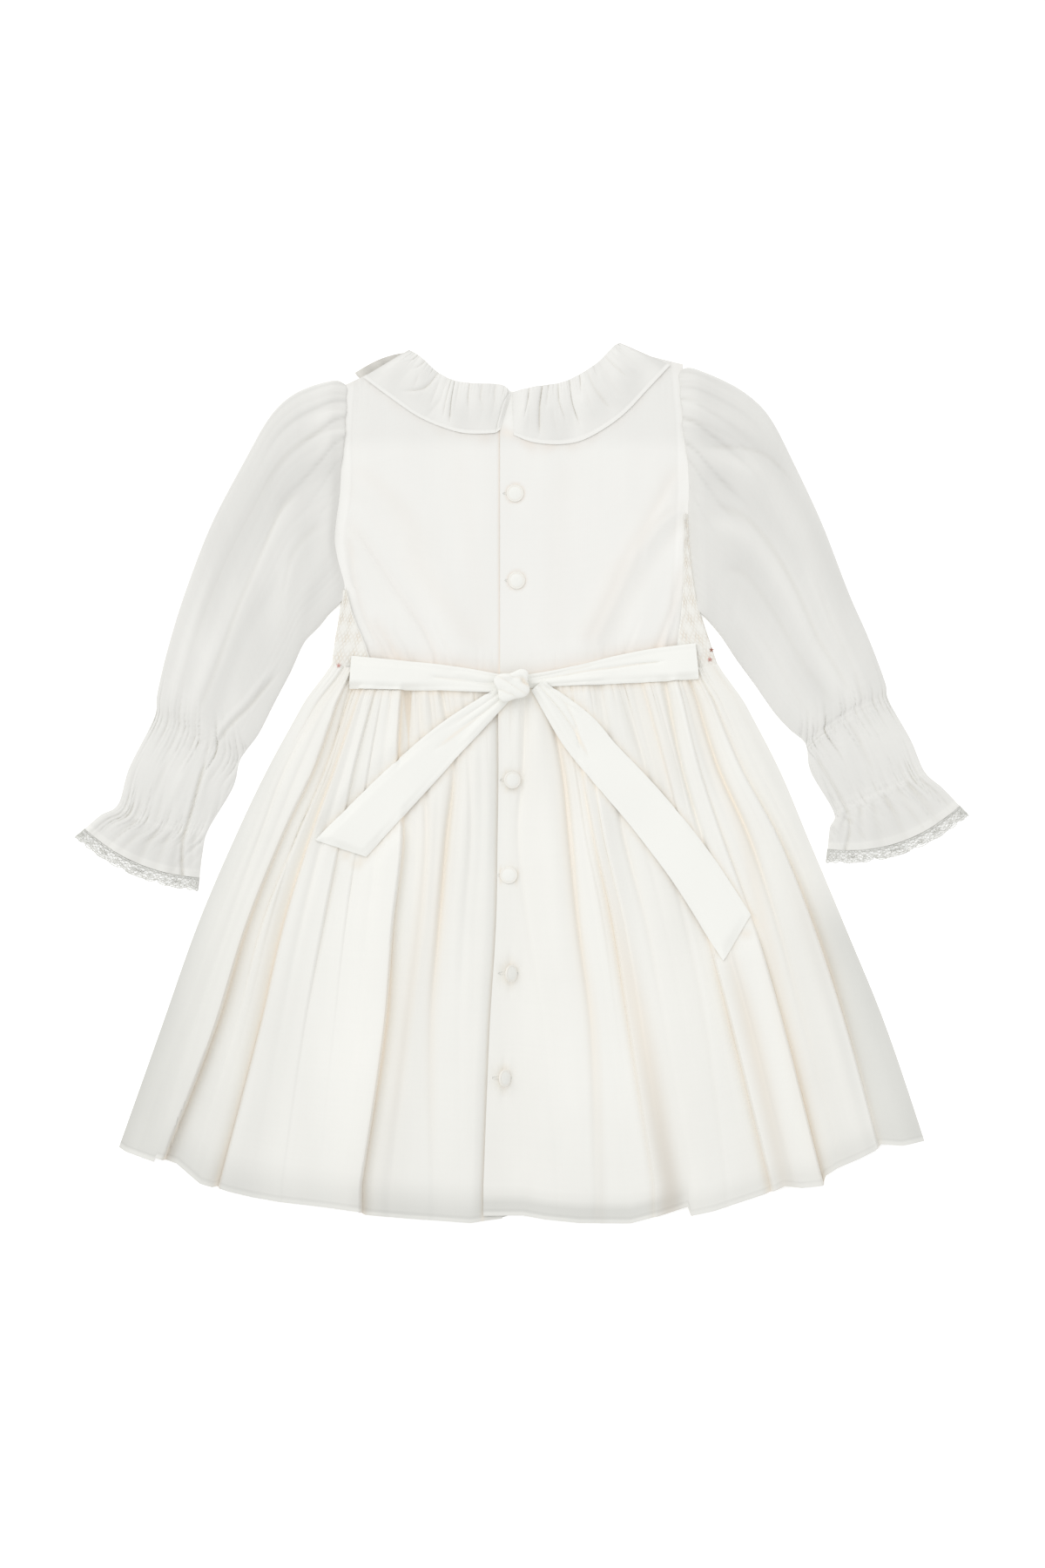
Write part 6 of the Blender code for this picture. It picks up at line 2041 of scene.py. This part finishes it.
def stage(light):
    """A white floor, an even bright surrounding and one large soft key from the upper left."""
    scene = bpy.context.scene
    bpy.ops.object.select_all(action="DESELECT")
    bpy.ops.mesh.primitive_plane_add(size=12.0, location=(0, 0, 0))
    floor = bpy.context.object
    floor.name = "floor"
    floor.data.transform(Matrix.Translation((0, 0, -0.0003)))
    made, _, _ = material(
        "Floor",
        Base_Color=(0.97, 0.97, 0.97),
        Roughness=0.95,
        Specular_IOR_Level=0.0,
        Emission_Color=(1.0, 1.0, 1.0),
        Emission_Strength=light.floor_glow,
    )
    floor.data.materials.append(made)

    scene.world = bpy.data.worlds.new("Soft light")
    scene.world.use_nodes = True
    back = scene.world.node_tree.nodes["Background"]
    back.inputs["Color"].default_value = (1.0, 1.0, 1.0, 1.0)
    back.inputs["Strength"].default_value = light.surrounding

    key = bpy.data.lights.new("Key", "SUN")
    key.angle = math.radians(60)
    key.energy = light.key
    lamp = bpy.data.objects.new("Key", key)
    lamp.location = (-0.8, 0.9, 1.5)
    lamp.rotation_euler = (-Vector(lamp.location)).to_track_quat("-Z", "Y").to_euler()
    scene.collection.objects.link(lamp)

    lens = bpy.data.cameras.new("Camera")
    lens.lens = 85.0
    lens.sensor_fit = "VERTICAL"
    lens.sensor_height = 36.0
    lens.clip_end = 50.0
    camera = bpy.data.objects.new("Camera", lens)
    camera.location = (-0.0003, -0.0005, light.camera_height)
    scene.collection.objects.link(camera)
    scene.camera = camera
    view = scene.view_settings
    view.view_transform = "Standard"
    view.look = "None"
    view.exposure = light.exposure


# Operators


def colour(name, description, default):
    """A colour that a user may change."""
    return bpy.props.FloatVectorProperty(
        name=name, description=description, subtype="COLOR", size=3, min=0, max=1, default=default
    )


class DressCloth(bpy.types.PropertyGroup):
    """The colours of the dress's cloth and thread."""

    lined_colour: colour("Lined lawn", "Cotton lawn over its lining", (0.86, 0.855, 0.815))
    bodice_colour: colour("Bodice", "The bodice's lawn over its close lining", (0.885, 0.88, 0.85))
    bodice_single_colour: colour("Bodice in shade", "The bodice's lawn off its seams", (0.8, 0.795, 0.758))
    skirt_single_colour: colour(
        "Skirt hem and sides", "The skirt's lawn where its lining ends", (0.69, 0.69, 0.655)
    )
    single_colour: colour("Single lawn", "The unlined lawn of the sleeves and collar", (0.765, 0.76, 0.73))
    # The crease colours are painted shade: the warm tone laid into creases and into the shadows beside the
    # sash, collar, placket and buttons.
    hollow_colour: colour("Deep creases", "The warm tone inside deep creases", (0.735, 0.655, 0.55))
    bodice_hollow_colour: colour(
        "Bodice creases", "The rosy tone of the bodice's soft creases", (0.78, 0.69, 0.61)
    )
    collar_hollow_colour: colour("Collar creases", "The tone inside the collar's pleats", (0.62, 0.57, 0.48))
    sleeve_hollow_colour: colour(
        "Sleeve creases", "The tone inside the creases of the single lawn", (0.60, 0.585, 0.53)
    )
    sash_colour: colour("Sash", "The doubled lawn of the sash", (0.89, 0.89, 0.85))
    lace_colour: colour("Lace", "The lace's thread", (0.82, 0.82, 0.78))
    pink_colour: colour("Pink flowers", "The thread of the pink flowers", (0.78, 0.42, 0.38))
    brown_colour: colour("Brown flowers", "The thread of the brown flowers", (0.46, 0.2, 0.14))
    mottle: bpy.props.FloatProperty(
        name="Mottling", description="How uneven the lawn is", min=0, max=1, default=0.07, subtype="FACTOR"
    )


class DressLight(bpy.types.PropertyGroup):
    """The light on the dress and the place of the camera."""

    surrounding: bpy.props.FloatProperty(
        name="Surrounding light", description="Strength of the even light from all round", min=0, default=0.84
    )
    key: bpy.props.FloatProperty(
        name="Key light", description="Strength of the large soft lamp", min=0, default=0.75
    )
    floor_glow: bpy.props.FloatProperty(
        name="Floor's own light", description="Keeps the floor white in soft shadows", min=0, default=0.35
    )
    exposure: bpy.props.FloatProperty(name="Exposure", description="Brightness of the picture", default=0.0)
    camera_height: bpy.props.FloatProperty(
        name="Camera height",
        description="How far the camera is above the floor",
        min=0.5,
        default=2.3425,
        unit="LENGTH",
    )


class DRESS_OT_front(bpy.types.Operator):
    """Lay the front of the dress: its collar, its skirt and its smocked bodice"""

    bl_idname = "dress.front"
    bl_label = "Front"

    def execute(self, context):
        collar_front(look("Collar lawn"))
        skirt_front(look("Lined lawn"))
        bodice_front(look("Bodice lawn"))
        return {"FINISHED"}


class DRESS_OT_smocked_sides(bpy.types.Operator):
    """Turn the smocked sides of the front round to the side seams"""

    bl_idname = "dress.smocked_sides"
    bl_label = "Smocked sides"

    def execute(self, context):
        for side in NAMES:
            bodice_turn(side, look("Smocked lawn"))
        return {"FINISHED"}


class DRESS_OT_skirt(bpy.types.Operator):
    """Gather the two halves of the back skirt from the waist to the hem"""

    bl_idname = "dress.skirt"
    bl_label = "Back skirt"

    def execute(self, context):
        for side in NAMES:
            skirt_back(side, look("Lined lawn"))
        return {"FINISHED"}


class DRESS_OT_bodice(bpy.types.Operator):
    """Lay the two halves of the back bodice, lapped at the placket"""

    bl_idname = "dress.bodice"
    bl_label = "Back bodice"

    def execute(self, context):
        for side in NAMES:
            bodice_back(side, look("Bodice lawn"))
        return {"FINISHED"}


class DRESS_OT_sleeves(bpy.types.Operator):
    """Shape the puffed, shirred sleeves and edge their cuffs with lace"""

    bl_idname = "dress.sleeves"
    bl_label = "Sleeves and lace"

    def execute(self, context):
        for side in NAMES:
            sleeve(side, look("Single lawn"), lace(side, look("Lace thread")))
        return {"FINISHED"}


class DRESS_OT_collar(bpy.types.Operator):
    """Pleat the two halves of the collar round the neck"""

    bl_idname = "dress.collar"
    bl_label = "Collar"

    def execute(self, context):
        laid = ["back_bodice_left", "back_bodice_right", "front_bodice", "collar_front"]
        for side in NAMES:
            collar_back(side, Below(*laid), look("Collar lawn"))
            laid.append(f"collar_{NAMES[side]}")
        return {"FINISHED"}


class DRESS_OT_sash(bpy.types.Operator):
    """Lay the sash's bands and tails and tie its knot"""

    bl_idname = "dress.sash"
    bl_label = "Sash"

    def execute(self, context):
        wrap = knot(look("Sash lawn"))
        laid = [piece for piece in PANELS if piece.startswith(("back", "front_side"))]
        for node in SASH_RUNS:
            sash(node, Below(*laid), look("Sash lawn"))
            laid.append(node)
        return {"FINISHED"}


class DRESS_OT_buttons(bpy.types.Operator):
    """Cover the six buttons and work their buttonholes"""

    bl_idname = "dress.buttons"
    bl_label = "Buttons"

    def execute(self, context):
        below = Below(*(piece for piece in PANELS if piece.startswith("back")))
        buttons(below, look("Button lawn"))
        buttonholes(below, look("Sewing thread"))
        return {"FINISHED"}


class DRESS_OT_flowers(bpy.types.Operator):
    """Embroider the little flowers on the smocking"""

    bl_idname = "dress.flowers"
    bl_label = "Embroidered flowers"

    def execute(self, context):
        below = Below("front_side_left", "front_side_right", "back_skirt_left", "back_skirt_right")
        for name, spots in FLOWER_SPOTS.items():
            flowers(f"{name}_flowers", spots, below, look(f"{name.capitalize()} thread"))
        return {"FINISHED"}


class DRESS_OT_stage(bpy.types.Operator):
    """Set the floor, the soft light and the camera"""

    bl_idname = "dress.stage"
    bl_label = "Floor, light and camera"

    def execute(self, context):
        stage(context.scene.dress_light)
        return {"FINISHED"}


OPERATORS = (
    DRESS_OT_front,
    DRESS_OT_smocked_sides,
    DRESS_OT_skirt,
    DRESS_OT_bodice,
    DRESS_OT_sleeves,
    DRESS_OT_collar,
    DRESS_OT_sash,
    DRESS_OT_buttons,
    DRESS_OT_flowers,
    DRESS_OT_stage,
)


class DRESS_PT_pieces(bpy.types.Panel):
    """Lists the dress's pieces, colours and light"""

    bl_label = "Toddler dress"
    bl_space_type = "VIEW_3D"
    bl_region_type = "UI"
    bl_category = "Dress"

    def draw(self, context):
        layout = self.layout
        for piece in OPERATORS:
            layout.operator(piece.bl_idname)
        for settings in (context.scene.dress_cloth, context.scene.dress_light):
            box = layout.box()
            for label in settings.__annotations__:
                box.prop(settings, label)


CLASSES = (DressCloth, DressLight, *OPERATORS, DRESS_PT_pieces)


def register():
    for made in CLASSES:
        bpy.utils.register_class(made)
    bpy.types.Scene.dress_cloth = bpy.props.PointerProperty(type=DressCloth)
    bpy.types.Scene.dress_light = bpy.props.PointerProperty(type=DressLight)


def unregister():
    del bpy.types.Scene.dress_light
    del bpy.types.Scene.dress_cloth
    for made in reversed(CLASSES):
        bpy.utils.unregister_class(made)


def main():
    register()
    bpy.ops.dress.front()
    bpy.ops.dress.smocked_sides()
    bpy.ops.dress.skirt()
    bpy.ops.dress.bodice()
    bpy.ops.dress.sleeves()
    bpy.ops.dress.collar()
    bpy.ops.dress.sash()
    bpy.ops.dress.buttons()
    bpy.ops.dress.flowers()
    bpy.ops.dress.stage()


if __name__ == "__main__":
    main()
